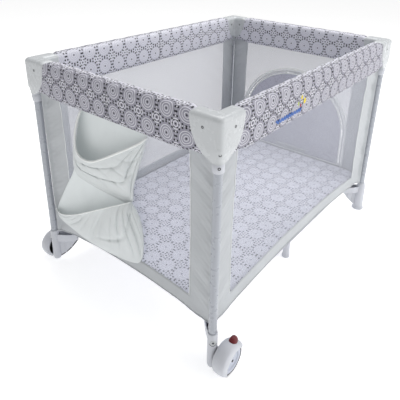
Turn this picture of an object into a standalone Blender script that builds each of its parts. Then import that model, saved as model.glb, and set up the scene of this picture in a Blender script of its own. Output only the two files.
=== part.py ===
"""Folding playpen: four legs, eight folding half rails, folding base, fabric walls, casters, toy bag.

Metres, +Z up. The long sides run along X, the short sides along Y. The caster end is at -X.
Corner pieces are modelled once in a corner frame (origin on the floor under the leg, x and y pointing
into the pen) and mirrored to the other corners.
"""

import math

import bmesh
import bpy
from mathutils import Matrix, Vector

# ---- driving dimensions -------------------------------------------------------------------------
SHIFT_X = 0.025  # moves the frame so that the whole object, toy bag included, is centred on X
HALF_LENGTH = 0.55  # outer face of the corner covers, along X
HALF_WIDTH = 0.38  # outer face of the corner covers, along Y
HEIGHT = 0.76
LEG_INSET = 0.02  # leg axis behind the outer faces
LEG_X = HALF_LENGTH - LEG_INSET
LEG_Y = HALF_WIDTH - LEG_INSET
CLEAR = 0.0003

LEG_R = 0.0115
RAIL_R = 0.009
BASE_R = 0.009
TUBE_WALL = 0.0013

RAIL_Z = 0.705
PIVOT_INSET = 0.045  # corner pivot of a half rail, inboard of the leg axis
LATCH_HALF = 0.035  # half the distance between a latch's two pins
TUBE_TAIL = 0.008  # tube end past its pin

SLEEVE_THICK = 0.046
SLEEVE_TALL = 0.110
SLEEVE_WALL = 0.005
COVER_WIDE = 0.098
COVER_TIP_Z = 0.645

BASE_Z = 0.095
HUB_PIN = 0.035
MID_ARM_X = 0.027
MID_FOOT_Y = 0.280

WALL_THICK = 0.0025
WALL_INSET = 0.013  # outer skin of a wall, inboard of the leg axis
WALL_TOP = 0.648
HEM_CORNER_Z = 0.130
HEM_MID_LONG_Z = 0.166
HEM_MID_SHORT_Z = 0.160

FLOOR_Z = 0.1545
FLOOR_THICK = 0.003
MATTRESS_Z = 0.1590
MATTRESS_THICK = 0.024
MATTRESS_HALF = (0.508, 0.338)

DOOR_HALF = 0.250
DOOR_SILL_Z = 0.182
DOOR_SPRING_Z = 0.320
DOOR_TOP_Z = 0.555

WHEEL_R = 0.044
WHEEL_X = 0.020
WHEEL_Y = -0.041
HOOD_R = 0.050

CORNERS = {
    "front_left": (-1, -1),
    "front_right": (1, -1),
    "rear_left": (-1, 1),
    "rear_right": (1, 1),
}

WHITE_PLASTIC = ((0.88, 0.89, 0.89), 0.30, 0.0)
GREY_PLASTIC = ((0.72, 0.73, 0.76), 0.38, 0.0)
DARK_PLASTIC = ((0.10, 0.10, 0.11), 0.45, 0.0)
PAINTED_TUBE = ((0.58, 0.62, 0.67), 0.32, 0.35)
PRINT_FABRIC = ((0.66, 0.64, 0.70), 0.85, 0.0)
MESH_FABRIC = ((0.86, 0.86, 0.91), 0.80, 0.0)
BAG_FABRIC = ((0.90, 0.91, 0.92), 0.75, 0.0)
RUBBER = ((0.05, 0.05, 0.055), 0.60, 0.0)
RED_PLASTIC = ((0.55, 0.03, 0.06), 0.35, 0.0)


# ---- scene helpers ------------------------------------------------------------------------------
def clear_scene():
    for obj in list(bpy.data.objects):
        bpy.data.objects.remove(obj, do_unlink=True)


def new_collection(name):
    collection = bpy.data.collections.new(name)
    bpy.context.scene.collection.children.link(collection)
    return collection


def material(name, look):
    colour, roughness, metallic = look
    mat = bpy.data.materials.new(name)
    mat.use_nodes = True
    shader = mat.node_tree.nodes["Principled BSDF"]
    shader.inputs["Base Color"].default_value = (*colour, 1.0)
    shader.inputs["Roughness"].default_value = roughness
    shader.inputs["Metallic"].default_value = metallic
    mat.diffuse_color = (*colour, 1.0)
    return mat


def add_object(name, mesh, look, location=(0, 0, 0), smooth=True):
    """Link a mesh as a named sub-part with a material of its own."""
    obj = bpy.data.objects.new(name, mesh)
    PARTS.objects.link(obj)
    obj.location = location
    obj.parent = ROOT
    mesh.materials.clear()
    mesh.materials.append(material(f"{name}_finish", look))
    if smooth:
        smooth_by_angle(mesh)
    return obj


def smooth_by_angle(mesh, angle=math.radians(35)):
    bm = bmesh.new()
    bm.from_mesh(mesh)
    for face in bm.faces:
        face.smooth = True
    for edge in bm.edges:
        edge.smooth = edge.is_manifold and edge.calc_face_angle(0.0) < angle
    bm.to_mesh(mesh)
    bm.free()


def mesh_from(bm, name):
    bmesh.ops.recalc_face_normals(bm, faces=bm.faces)
    mesh = bpy.data.meshes.new(name)
    bm.to_mesh(mesh)
    bm.free()
    return mesh


def box_mesh(low, high, bevel=0.0, segments=2, name="box"):
    """An upright box between two corners, its edges rounded by a bevel."""
    bm = bmesh.new()
    bmesh.ops.create_cube(bm, size=1.0)
    size = Vector(high) - Vector(low)
    bmesh.ops.scale(bm, vec=size, verts=bm.verts)
    bmesh.ops.translate(bm, vec=(Vector(low) + Vector(high)) / 2, verts=bm.verts)
    if bevel:
        bmesh.ops.bevel(bm, geom=list(bm.edges), offset=bevel, segments=segments, affect="EDGES",
                        profile=0.5, clamp_overlap=True)
    return mesh_from(bm, name)


def cylinder_mesh(start, end, radius, sides=24, radius_end=None, name="cylinder"):
    """A solid cylinder or cone between two points."""
    start, end = Vector(start), Vector(end)
    way = end - start
    bm = bmesh.new()
    bmesh.ops.create_cone(bm, cap_ends=True, segments=sides, radius1=radius,
                          radius2=radius if radius_end is None else radius_end, depth=way.length)
    turn = way.to_track_quat("Z", "Y").to_matrix().to_4x4()
    bmesh.ops.transform(bm, matrix=Matrix.Translation((start + end) / 2) @ turn, verts=bm.verts)
    return mesh_from(bm, name)


def outline_mesh(points, low, high, plane, name="outline"):
    """A flat outline as a filled 2D curve, extruded from low to high along the plane's normal."""
    curve = bpy.data.curves.new(name, "CURVE")
    curve.dimensions = "2D"
    curve.fill_mode = "BOTH"
    curve.extrude = (high - low) / 2
    spline = curve.splines.new("POLY")
    spline.points.add(len(points) - 1)
    for point, (a, b) in zip(spline.points, points):
        point.co = (a, b, 0, 1)
    spline.use_cyclic_u = True
    holder = bpy.data.objects.new(name, curve)
    mesh = bpy.data.meshes.new_from_object(holder)
    bpy.data.objects.remove(holder)
    bpy.data.curves.remove(curve)
    turn = {
        "XZ": Matrix(((1, 0, 0, 0), (0, 0, 1, 0), (0, 1, 0, 0), (0, 0, 0, 1))),
        "YZ": Matrix(((0, 0, 1, 0), (1, 0, 0, 0), (0, 1, 0, 0), (0, 0, 0, 1))),
        "XY": Matrix.Identity(4),
    }[plane]
    normal = {"XZ": Vector((0, 1, 0)), "YZ": Vector((1, 0, 0)), "XY": Vector((0, 0, 1))}[plane]
    mesh.transform(Matrix.Translation(normal * (low + high) / 2) @ turn)
    bm = bmesh.new()
    bm.from_mesh(mesh)
    bpy.data.meshes.remove(mesh)
    bmesh.ops.remove_doubles(bm, verts=bm.verts, dist=1e-6)
    return mesh_from(bm, name)


def combine(base, others, operation):
    """Boolean the other meshes with the base mesh, one after another."""
    work = bpy.data.objects.new("work", base)
    CUTTERS.objects.link(work)
    for mesh in others:
        tool = bpy.data.objects.new("tool", mesh)
        CUTTERS.objects.link(tool)
        tool.hide_render = True
        tool.display_type = "WIRE"
        boolean = work.modifiers.new("join", "BOOLEAN")
        boolean.operation = operation
        boolean.solver = "EXACT"
        boolean.object = tool
        bpy.context.view_layer.update()
        done = bpy.data.meshes.new_from_object(work.evaluated_get(bpy.context.evaluated_depsgraph_get()))
        work.modifiers.clear()
        work.data = done
        bpy.data.objects.remove(tool)
        bpy.data.meshes.remove(mesh)
    result = work.data
    bpy.data.objects.remove(work)
    return result


def union(base, *others):
    return combine(base, others, "UNION")


def cut(base, *others):
    return combine(base, others, "DIFFERENCE")


def shared(base, *others):
    return combine(base, others, "INTERSECT")


def mirrored(mesh, sign_x, sign_y):
    """Turn a mesh made in the corner frame into the one for another corner."""
    copy = mesh.copy()
    copy.transform(Matrix.Diagonal((-sign_x, -sign_y, 1, 1)))
    if sign_x * sign_y < 0:
        copy.flip_normals()
    return copy


def corner_point(sign_x, sign_y):
    return (sign_x * LEG_X, sign_y * LEG_Y, 0)


def turned(name, profile, look, location, direction, steps=24):
    """A turned piece: closed (radius, height) profile swept round local Z, laid along a direction."""
    mesh = bpy.data.meshes.new(name)
    count = len(profile)
    mesh.from_pydata([(r, 0, h) for r, h in profile], [(i, (i + 1) % count) for i in range(count)], [])
    obj = bpy.data.objects.new(name, mesh)
    PARTS.objects.link(obj)
    obj.parent = ROOT
    obj.location = location
    obj.rotation_euler = Vector(direction).to_track_quat("Z", "Y").to_euler()
    screw = obj.modifiers.new("turn", "SCREW")
    screw.axis = "Z"
    screw.angle = math.tau
    screw.steps = steps
    screw.render_steps = steps
    screw.use_merge_vertices = True
    screw.merge_threshold = 0.00005
    screw.use_smooth_shade = True
    mesh.materials.append(material(f"{name}_finish", look))
    return obj


def tube(name, start, end, radius, look, tail=0.0):
    """A thin-walled tube between two points, open at both ends; its origin is its first point."""
    start, end = Vector(start), Vector(end)
    length = (end - start).length
    inner = radius - TUBE_WALL
    profile = [(radius, length + tail), (radius, -tail), (inner, -tail), (inner, length + tail)]
    return turned(name, profile, look, start, end - start)


# ---- corners ------------------------------------------------------------------------------------
def leg_tube(name, sign_x, sign_y):
    x, y, _ = corner_point(sign_x, sign_y)
    return tube(name, (x, y, 0.035), (x, y, 0.733), LEG_R, PAINTED_TUBE)


def shield_outline():
    """Side outline of one cover wing: distance inboard of the leg axis, height."""
    edge = [(0.098, HEIGHT), (0.0965, 0.735), (0.090, 0.706), (0.078, 0.682), (0.060, 0.661),
            (0.038, 0.649), (0.0, COVER_TIP_Z)]
    return [(-LEG_INSET, HEIGHT)] + [(x - LEG_INSET, z) for x, z in edge]


def corner_cover_mesh():
    """The moulded cover of one top corner, in the corner frame."""
    outline = shield_outline()
    inner = SLEEVE_THICK - LEG_INSET
    wing_x = outline_mesh(outline, -LEG_INSET, inner, "XZ")
    wing_y = outline_mesh(outline, -LEG_INSET, inner, "YZ")
    shell = union(wing_x, wing_y)
    blank = bmesh.new()
    bmesh.ops.create_cube(blank, size=1.0)
    bmesh.ops.scale(blank, vec=(0.16, 0.16, 0.2), verts=blank.verts)
    bmesh.ops.translate(blank, vec=(0.08 - LEG_INSET, 0.08 - LEG_INSET, HEIGHT - 0.1), verts=blank.verts)
    uprights = [e for e in blank.edges if abs((e.verts[0].co - e.verts[1].co).z) > 0.1]
    bmesh.ops.bevel(blank, geom=uprights, offset=0.016, segments=5, affect="EDGES", profile=0.5)
    rim = [e for e in blank.edges if min(v.co.z for v in e.verts) > HEIGHT - 1e-4]
    bmesh.ops.bevel(blank, geom=rim, offset=0.010, segments=3, affect="EDGES", profile=0.5)
    shell = shared(shell, mesh_from(blank, "blank"))
    lug = cylinder_mesh((0, 0, 0.618), (0, 0, 0.70), 0.0152)
    shell = union(shell, lug)
    bore = cylinder_mesh((0, 0, 0.58), (0, 0, 0.7345), LEG_R + CLEAR)
    half = RAIL_R + 0.0015
    slot_x = box_mesh((0.028, -half, 0.55), (0.20, half, RAIL_Z + 0.018))
    slot_y = box_mesh((-half, 0.028, 0.55), (half, 0.20, RAIL_Z + 0.018))
    return cut(shell, bore, slot_x, slot_y)


def foot_mesh(with_caster):
    """The plastic foot that holds a leg and the outer end of a base tube, in the corner frame."""
    low = 0.006 if with_caster else 0.0
    post = cylinder_mesh((0, 0, low), (0, 0, 0.128), 0.0165)
    if not with_caster:
        post = union(post, cylinder_mesh((0, 0, 0), (0, 0, 0.016), 0.0205, radius_end=0.0175))
    arm = box_mesh((-0.002, -0.0195, BASE_Z - 0.016), (0.078, 0.0195, BASE_Z + 0.015), 0.003, 1)
    arm.transform(Matrix.Rotation(math.radians(45), 4, "Z"))
    fin = box_mesh((0.004, -0.003, 0.02), (0.034, 0.003, BASE_Z), 0.0)
    fin.transform(Matrix.Rotation(math.radians(45), 4, "Z"))
    body = union(post, arm, fin)
    slot = box_mesh((-0.014, -RAIL_R - 0.0012, -0.05), (0.08, RAIL_R + 0.0012, 0.05))
    along = base_direction(1, 1)
    turn = math.atan2(along.y, along.x)
    slot.transform(Matrix.Translation((PIVOT_INSET, PIVOT_INSET, BASE_Z)) @ Matrix.Rotation(turn, 4, "Z"))
    bore = cylinder_mesh((0, 0, 0.0347), (0, 0, 0.2), LEG_R + CLEAR)
    return cut(body, slot, bore)


# ---- casters ------------------------------------------------------------------------------------
def hood_mesh():
    """Caster hood in the corner frame: back plate, rim over the wheel, axle stub and brake ears."""
    back, face = -0.0172, -0.0575
    drum = cylinder_mesh((WHEEL_X, back, WHEEL_R), (WHEEL_X, face, WHEEL_R), HOOD_R, sides=32)
    hollow = cylinder_mesh(
        (WHEEL_X, back - 0.006, WHEEL_R), (WHEEL_X, face - 0.01, WHEEL_R), 0.0462, sides=32)
    under = box_mesh((WHEEL_X - 0.034, face - 0.01, -0.05), (WHEEL_X + 0.10, back - 0.006, 0.020))
    side = box_mesh((WHEEL_X + 0.030, face - 0.01, -0.05), (WHEEL_X + 0.10, back - 0.006, 0.062))
    foot_cut = box_mesh((WHEEL_X - 0.1, face - 0.01, -0.05), (WHEEL_X + 0.1, back + 0.01, 0.004))
    notch = box_mesh((0.012, -0.0525, 0.080), (0.0400, -0.0275, 0.2))
    shell = cut(drum, hollow, under, side, foot_cut, notch)
    ears = [
        box_mesh((0.036, y - 0.0011, 0.078), (0.047, y + 0.0011, 0.1115))
        for y in (-0.0541, -0.0259)
    ]
    bar = box_mesh((0.0405, -0.0541, 0.078), (0.0465, -0.0259, 0.0925))
    axle = cylinder_mesh(
        (WHEEL_X, back - 0.003, WHEEL_R), (WHEEL_X, face + 0.0025, WHEEL_R), 0.004, sides=16)
    shell = union(shell, *ears, bar, axle)
    keep_out = cylinder_mesh(
        (WHEEL_X, back - 0.0061, WHEEL_R), (WHEEL_X, face - 0.02, WHEEL_R), 0.0462, sides=32)
    core = cylinder_mesh((WHEEL_X, 0.05, WHEEL_R), (WHEEL_X, -0.15, WHEEL_R), 0.012, sides=16)
    ring = cut(keep_out, core)
    return cut(shell, ring)


def wheel(name, sign_x, sign_y):
    """Hub disc with a bore that runs on the hood's axle stub."""
    x, y, _ = corner_point(sign_x, sign_y)
    centre = (x - sign_x * WHEEL_X, y - sign_y * WHEEL_Y, WHEEL_R)
    half = 0.0150
    profile = [(0.0384, half), (0.0384, -half), (0.030, -half), (0.026, -half + 0.005),
               (0.012, -half + 0.005), (0.010, -half), (0.00425, -half), (0.00425, half),
               (0.010, half), (0.012, half - 0.003), (0.026, half - 0.003), (0.030, half)]
    return turned(name, profile, GREY_PLASTIC, centre, (0, sign_y, 0), steps=32)


def tyre(name, sign_x, sign_y):
    x, y, _ = corner_point(sign_x, sign_y)
    centre = (x - sign_x * WHEEL_X, y - sign_y * WHEEL_Y, WHEEL_R)
    half = 0.0140
    profile = [(0.0405, half), (0.0432, half - 0.0015), (WHEEL_R, half - 0.005), (WHEEL_R, -half + 0.005),
               (0.0432, -half + 0.0015), (0.0405, -half), (0.0387, -half), (0.0387, half)]
    return turned(name, profile, RUBBER, centre, (0, sign_y, 0), steps=32)


def brake_lever_mesh():
    """Foot lever over the caster hood, in the corner frame."""
    pad = box_mesh((0.0125, -0.0500, 0.0985), (0.040, -0.0300, 0.1125), 0.004, 2)
    barrel = cylinder_mesh((0.0415, -0.0525, 0.1045), (0.0415, -0.0275, 0.1045), 0.0050, sides=16)
    return union(pad, barrel)


# ---- top rails ----------------------------------------------------------------------------------
def rail_ends(side, near):
    """Corner pin and latch pin of one half rail."""
    if side in ("front", "rear"):
        y = -LEG_Y if side == "front" else LEG_Y
        sign = -1 if near == "left" else 1
        return Vector((sign * (LEG_X - PIVOT_INSET), y, RAIL_Z)), Vector((sign * LATCH_HALF, y, RAIL_Z))
    x = -LEG_X if side == "left" else LEG_X
    sign = -1 if near == "front" else 1
    return Vector((x, sign * (LEG_Y - PIVOT_INSET), RAIL_Z)), Vector((x, sign * LATCH_HALF, RAIL_Z))


def rail_tube(side, near):
    start, end = rail_ends(side, near)
    return tube(f"rail_tube_{side}_{near}", start, end, RAIL_R, PAINTED_TUBE, tail=TUBE_TAIL)


def sleeve(side, near):
    """Padded fabric sleeve round one half rail, open at both ends."""
    start, _ = rail_ends(side, near)
    along_x = side in ("front", "rear")
    outer = HALF_LENGTH if along_x else HALF_WIDTH
    reach = outer - COVER_WIDE
    out, half = SLEEVE_THICK / 2, SLEEVE_TALL / 2
    body = box_mesh((CLEAR, -out, -half), (reach - CLEAR, out, half))
    bm = bmesh.new()
    bm.from_mesh(body)
    long_edges = [e for e in bm.edges if abs((e.verts[0].co - e.verts[1].co).x) > 0.1]
    bmesh.ops.bevel(bm, geom=long_edges, offset=0.012, segments=3, affect="EDGES", profile=0.5)
    body = mesh_from(bm, "sleeve")
    inside = box_mesh((-0.1, -out + SLEEVE_WALL, -half + SLEEVE_WALL),
                      (reach + 0.1, out - SLEEVE_WALL, half - SLEEVE_WALL))
    body = cut(body, inside)
    mid = HALF_WIDTH - SLEEVE_THICK / 2 if along_x else HALF_LENGTH - SLEEVE_THICK / 2
    sign = -1 if near in ("left", "front") else 1
    cross = -1 if side in ("front", "left") else 1
    if along_x:
        place = Matrix.Translation((0, cross * mid, RAIL_Z)) @ Matrix.Diagonal((sign, 1, 1, 1))
    else:
        place = Matrix.Translation((cross * mid, 0, RAIL_Z)) @ Matrix.Rotation(sign * math.pi / 2, 4, "Z")
    body.transform(place)
    if along_x and sign < 0:
        body.flip_normals()
    body.transform(Matrix.Translation(-start))
    return add_object(f"sleeve_{side}_{near}", body, PRINT_FABRIC, start)


def latch(side):
    """Centre latch: a housing with a slot for each half rail's inner end."""
    body = box_mesh((-0.052, -0.0138, -0.021), (0.052, 0.0138, 0.016), 0.003, 2)
    half = RAIL_R + 0.0015
    slots = [box_mesh((0.0225, -half, -0.0125), (0.1, half, 0.1)),
             box_mesh((-0.1, -half, -0.0125), (-0.0225, half, 0.1))]
    socket = cylinder_mesh((0, 0, -0.05), (0, 0, -0.011), 0.0093)
    return cut(body, *slots, socket)


def latch_button():
    return cylinder_mesh((0, 0, -0.0235), (0, 0, -0.0145), 0.0088, radius_end=0.0088)


# ---- folding base -------------------------------------------------------------------------------
def base_direction(sign_x, sign_y):
    """Level direction from the hub's middle out to a foot's pivot."""
    return Vector((sign_x * (LEG_X - PIVOT_INSET - HUB_PIN), sign_y * (LEG_Y - PIVOT_INSET - HUB_PIN), 0))


def base_tube(name, sign_x, sign_y):
    start = Vector((sign_x * (LEG_X - PIVOT_INSET), sign_y * (LEG_Y - PIVOT_INSET), BASE_Z))
    end = Vector((sign_x * HUB_PIN, sign_y * HUB_PIN, BASE_Z))
    return tube(name, start, end, BASE_R, PAINTED_TUBE, tail=TUBE_TAIL)


def hub():
    """Centre of the base: a block with slots for the four base tubes and the two middle arms."""
    body = box_mesh((-0.062, -0.062, BASE_Z - 0.026), (0.062, 0.062, FLOOR_Z - 0.0035), 0.008, 2)
    half = BASE_R + 0.0015
    cutters = []
    for sign_x, sign_y in CORNERS.values():
        slot = box_mesh((-0.0125, -half, -0.20), (0.12, half, 0.0125))
        along = base_direction(sign_x, sign_y)
        turn = Matrix.Rotation(math.atan2(along.y, along.x), 4, "Z")
        slot.transform(Matrix.Translation((sign_x * HUB_PIN, sign_y * HUB_PIN, BASE_Z)) @ turn)
        cutters.append(slot)
    for sign in (-1, 1):
        slot = box_mesh((-0.0070, 0.0310, -0.2), (0.0070, 0.2, 0.0125))
        if sign < 0:
            slot.transform(Matrix.Rotation(math.pi, 4, "Z"))
        slot.transform(Matrix.Translation((0, 0, BASE_Z)))
        cutters.append(slot)
    return cut(body, *cutters)


def mid_arm_mesh(sign_y):
    """Flat middle arm with the support foot at its end; sign_y picks the front or the rear one."""
    shift = -sign_y * MID_ARM_X
    inner = box_mesh((-0.0055, 0.038, -0.009), (0.0055, 0.112, 0.009), 0.002, 1)
    step = box_mesh(
        (min(-0.0055, shift - 0.0055), 0.100, -0.009), (max(0.0055, shift + 0.0055), 0.112, 0.009))
    outer = box_mesh((shift - 0.0055, 0.101, -0.009), (shift + 0.0055, MID_FOOT_Y, 0.009), 0.002, 1)
    post = cylinder_mesh((shift, MID_FOOT_Y, -BASE_Z + 0.004), (shift, MID_FOOT_Y, 0.013), 0.0125)
    pad = cylinder_mesh(
        (shift, MID_FOOT_Y, -BASE_Z), (shift, MID_FOOT_Y, -BASE_Z + 0.012), 0.0150, radius_end=0.0135)
    arm = union(inner, step, outer, post, pad)
    if sign_y < 0:
        arm.transform(Matrix.Diagonal((1, -1, 1, 1)))
        arm.flip_normals()
    return arm


# ---- fabric -------------------------------------------------------------------------------------
def hem_curve(half, corner_z, mid_z, count=16):
    """Points of a hem that rises from the corners to the middle of a side."""
    points = []
    for i in range(count + 1):
        share = -1 + 2 * i / count
        points.append((share * half, mid_z - (mid_z - corner_z) * abs(share) ** 2.2))
    return points


def wall(side):
    """One fabric side panel; the right one has the arched doorway."""
    along_x = side in ("front", "rear")
    if along_x:
        half = LEG_X - WALL_INSET
        outline = hem_curve(half, HEM_CORNER_Z, HEM_MID_LONG_Z)
    else:
        half = LEG_Y - WALL_INSET - WALL_THICK - CLEAR
        outline = hem_curve(half, HEM_CORNER_Z, HEM_MID_SHORT_Z)
    outline += [(half, WALL_TOP), (-half, WALL_TOP)]
    sign = -1 if side in ("front", "left") else 1
    centre = (LEG_Y if along_x else LEG_X) - WALL_INSET - WALL_THICK / 2
    low, high = sign * centre - WALL_THICK / 2, sign * centre + WALL_THICK / 2
    mesh = outline_mesh(outline, low, high, "XZ" if along_x else "YZ")
    if side == "right":
        gap = door_outline(0.0006)
        mesh = cut(mesh, outline_mesh(gap, low - 0.02, high + 0.02, "YZ"))
    return add_object(f"wall_{side}", mesh, MESH_FABRIC, smooth=False)


def door_outline(grow):
    """Arch of the zipped doorway: across, height."""
    half = DOOR_HALF + grow
    rise = DOOR_TOP_Z - DOOR_SPRING_Z + grow
    points = [(-half, DOOR_SILL_Z - grow), (half, DOOR_SILL_Z - grow)]
    for i in range(13):
        turn = math.pi * i / 12
        points.append((half * math.cos(turn), DOOR_SPRING_Z + rise * math.sin(turn)))
    return points


def door_flap():
    """Flap that fills the doorway and drops outwards round its sill; its origin is on the sill."""
    centre = LEG_X - WALL_INSET - WALL_THICK / 2
    mesh = outline_mesh(door_outline(0.0), -WALL_THICK / 2, WALL_THICK / 2, "YZ")
    mesh.transform(Matrix.Translation((0, 0, -DOOR_SILL_Z)))
    return add_object("door_flap", mesh, PRINT_FABRIC, (centre, 0, DOOR_SILL_Z), smooth=False)


def rounded_slab(half_x, half_y, low, high, corner, edge, segments=4):
    bm = bmesh.new()
    bmesh.ops.create_cube(bm, size=1.0)
    bmesh.ops.scale(bm, vec=(2 * half_x, 2 * half_y, high - low), verts=bm.verts)
    bmesh.ops.translate(bm, vec=(0, 0, (high + low) / 2), verts=bm.verts)
    uprights = [e for e in bm.edges if abs((e.verts[0].co - e.verts[1].co).z) > (high - low) / 2]
    bmesh.ops.bevel(bm, geom=uprights, offset=corner, segments=segments, affect="EDGES", profile=0.5)
    if edge:
        level = [e for e in bm.edges if abs((e.verts[0].co - e.verts[1].co).z) < 1e-6]
        bmesh.ops.bevel(bm, geom=level, offset=edge, segments=2, affect="EDGES", profile=0.5)
    return mesh_from(bm, "slab")


def bag_pocket(name, low_y, high_y, low_z, high_z, depth):
    """One hanging pocket of the toy bag: a rounded pouch, open at the top."""
    back = -(LEG_X - WALL_INSET) - 0.0010
    count = 12

    def bow(inset):
        points = []
        mid = (low_y + high_y) / 2
        half = (high_y - low_y) / 2 - inset
        for i in range(count + 1):
            turn = math.pi * i / count
            belly = (depth - 2 * inset) * math.sin(turn) ** 0.6
            points.append((back - inset - belly, mid + half * math.cos(turn)))
        return points

    body = outline_mesh(bow(0.0), low_z, high_z, "XY")
    space = outline_mesh(bow(0.003), low_z + 0.004, high_z + 0.05, "XY")
    return add_object(name, cut(body, space), BAG_FABRIC)


# ---- assembly -----------------------------------------------------------------------------------
def build():
    cover, caster_foot, plain_foot = corner_cover_mesh(), foot_mesh(True), foot_mesh(False)
    hood, lever = hood_mesh(), brake_lever_mesh()
    for name, (sx, sy) in CORNERS.items():
        at = corner_point(sx, sy)
        leg_tube(f"leg_tube_{name}", sx, sy)
        add_object(f"corner_cover_{name}", mirrored(cover, sx, sy), WHITE_PLASTIC, at)
        foot = caster_foot if sx < 0 else plain_foot
        add_object(f"foot_{name}", mirrored(foot, sx, sy), GREY_PLASTIC, at)
        base_tube(f"base_tube_{name}", sx, sy)
        if sx < 0:
            add_object(f"caster_hood_{name}", mirrored(hood, sx, sy), GREY_PLASTIC, at)
            wheel(f"caster_wheel_{name}", sx, sy)
            tyre(f"caster_tyre_{name}", sx, sy)
            add_object(f"brake_lever_{name}", mirrored(lever, sx, sy), RED_PLASTIC, at)
    for side, halves in (("front", ("left", "right")), ("rear", ("left", "right")),
                         ("left", ("front", "rear")), ("right", ("front", "rear"))):
        for near in halves:
            rail_tube(side, near)
            sleeve(side, near)
        along_x = side in ("front", "rear")
        sign = -1 if side in ("front", "left") else 1
        at = (0, sign * LEG_Y, RAIL_Z) if along_x else (sign * LEG_X, 0, RAIL_Z)
        pieces = (("latch", latch(side), WHITE_PLASTIC), ("latch_button", latch_button(), DARK_PLASTIC))
        for kind, mesh, look in pieces:
            if not along_x:
                mesh.transform(Matrix.Rotation(math.pi / 2, 4, "Z"))
            add_object(f"{kind}_{side}", mesh, look, at)
        wall(side)
    door_flap()
    add_object("base_hub", hub(), DARK_PLASTIC)
    for side, sign in (("front", -1), ("rear", 1)):
        add_object(f"mid_support_{side}", mid_arm_mesh(sign), GREY_PLASTIC, (0, 0, BASE_Z))
    inside = WALL_INSET + WALL_THICK + CLEAR
    floor = rounded_slab(LEG_X - inside, LEG_Y - inside, FLOOR_Z, FLOOR_Z + FLOOR_THICK, 0.02, 0)
    add_object("floor_cloth", floor, MESH_FABRIC, smooth=False)
    pad = rounded_slab(*MATTRESS_HALF, MATTRESS_Z, MATTRESS_Z + MATTRESS_THICK, 0.045, 0.008)
    add_object("mattress", pad, PRINT_FABRIC)
    bag_pocket("toy_bag_upper", -0.130, 0.175, 0.470, 0.646, 0.060)
    bag_pocket("toy_bag_lower", -0.120, 0.225, 0.236, 0.462, 0.083)


clear_scene()
PARTS = new_collection("playpen")
CUTTERS = new_collection("cutters")
ROOT = bpy.data.objects.new("playpen_root", None)
PARTS.objects.link(ROOT)
ROOT.location = (SHIFT_X, 0, 0)
build()
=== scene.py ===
"""Looks of a folding playpen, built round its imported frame.

Every sub-assembly is a class: it holds its sizes as dataclass fields, builds its meshes and dresses them.
Lengths are metres in the frame's own axes: +X along the long sides, +Y to the rear, +Z up.
"""

import logging
import math
import random
from dataclasses import dataclass, field
from enum import Enum
from typing import Callable, Optional, Sequence

import bmesh
import bpy
from mathutils import Matrix, Vector


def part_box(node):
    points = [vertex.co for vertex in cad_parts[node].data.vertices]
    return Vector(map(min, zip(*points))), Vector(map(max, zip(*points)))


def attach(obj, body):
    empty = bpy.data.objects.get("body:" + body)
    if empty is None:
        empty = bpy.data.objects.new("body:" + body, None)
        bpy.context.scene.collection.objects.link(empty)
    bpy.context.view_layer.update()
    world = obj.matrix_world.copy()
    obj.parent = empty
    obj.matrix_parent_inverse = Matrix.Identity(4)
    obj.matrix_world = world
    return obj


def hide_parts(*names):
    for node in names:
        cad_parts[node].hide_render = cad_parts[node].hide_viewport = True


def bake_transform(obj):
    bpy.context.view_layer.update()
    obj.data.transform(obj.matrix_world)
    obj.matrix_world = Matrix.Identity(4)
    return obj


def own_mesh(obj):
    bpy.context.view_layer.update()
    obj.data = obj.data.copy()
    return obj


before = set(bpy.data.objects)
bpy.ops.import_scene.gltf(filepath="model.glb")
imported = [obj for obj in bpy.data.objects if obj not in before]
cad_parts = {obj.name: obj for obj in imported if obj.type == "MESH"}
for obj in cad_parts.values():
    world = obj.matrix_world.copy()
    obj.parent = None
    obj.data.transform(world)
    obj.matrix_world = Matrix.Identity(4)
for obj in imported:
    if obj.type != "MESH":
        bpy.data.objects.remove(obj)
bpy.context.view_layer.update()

LOG = logging.getLogger("playpen")
Colour = tuple[float, float, float]
Point = tuple[float, float, float]


# ---- places taken from the frame ------------------------------------------------------------------
def node_box(name: str) -> tuple[Vector, Vector]:
    """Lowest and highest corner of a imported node.

    Args:
        name: Node name in the frame.

    Returns:
        The two corners as vectors.
    """
    low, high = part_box(name)
    return Vector(low), Vector(high)


def leg_axis(corner: "Corner") -> Vector:
    """Axis of a leg tube, on the floor.

    Args:
        corner: Which leg.

    Returns:
        The point on the floor under the tube.
    """
    low, high = node_box(f"leg_tube_{corner.label}")
    return Vector(((low.x + high.x) / 2, (low.y + high.y) / 2, 0.0))


class Corner(Enum):
    """The four corners, by the sign of their x and y offset from the middle."""

    FRONT_LEFT = (-1, -1)
    FRONT_RIGHT = (1, -1)
    REAR_LEFT = (-1, 1)
    REAR_RIGHT = (1, 1)

    @property
    def label(self) -> str:
        """Corner name as the frame's nodes spell it."""
        return self.name.lower()

    @property
    def inward(self) -> tuple[int, int]:
        """Signs that point from this corner into the pen."""
        return -self.value[0], -self.value[1]


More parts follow.
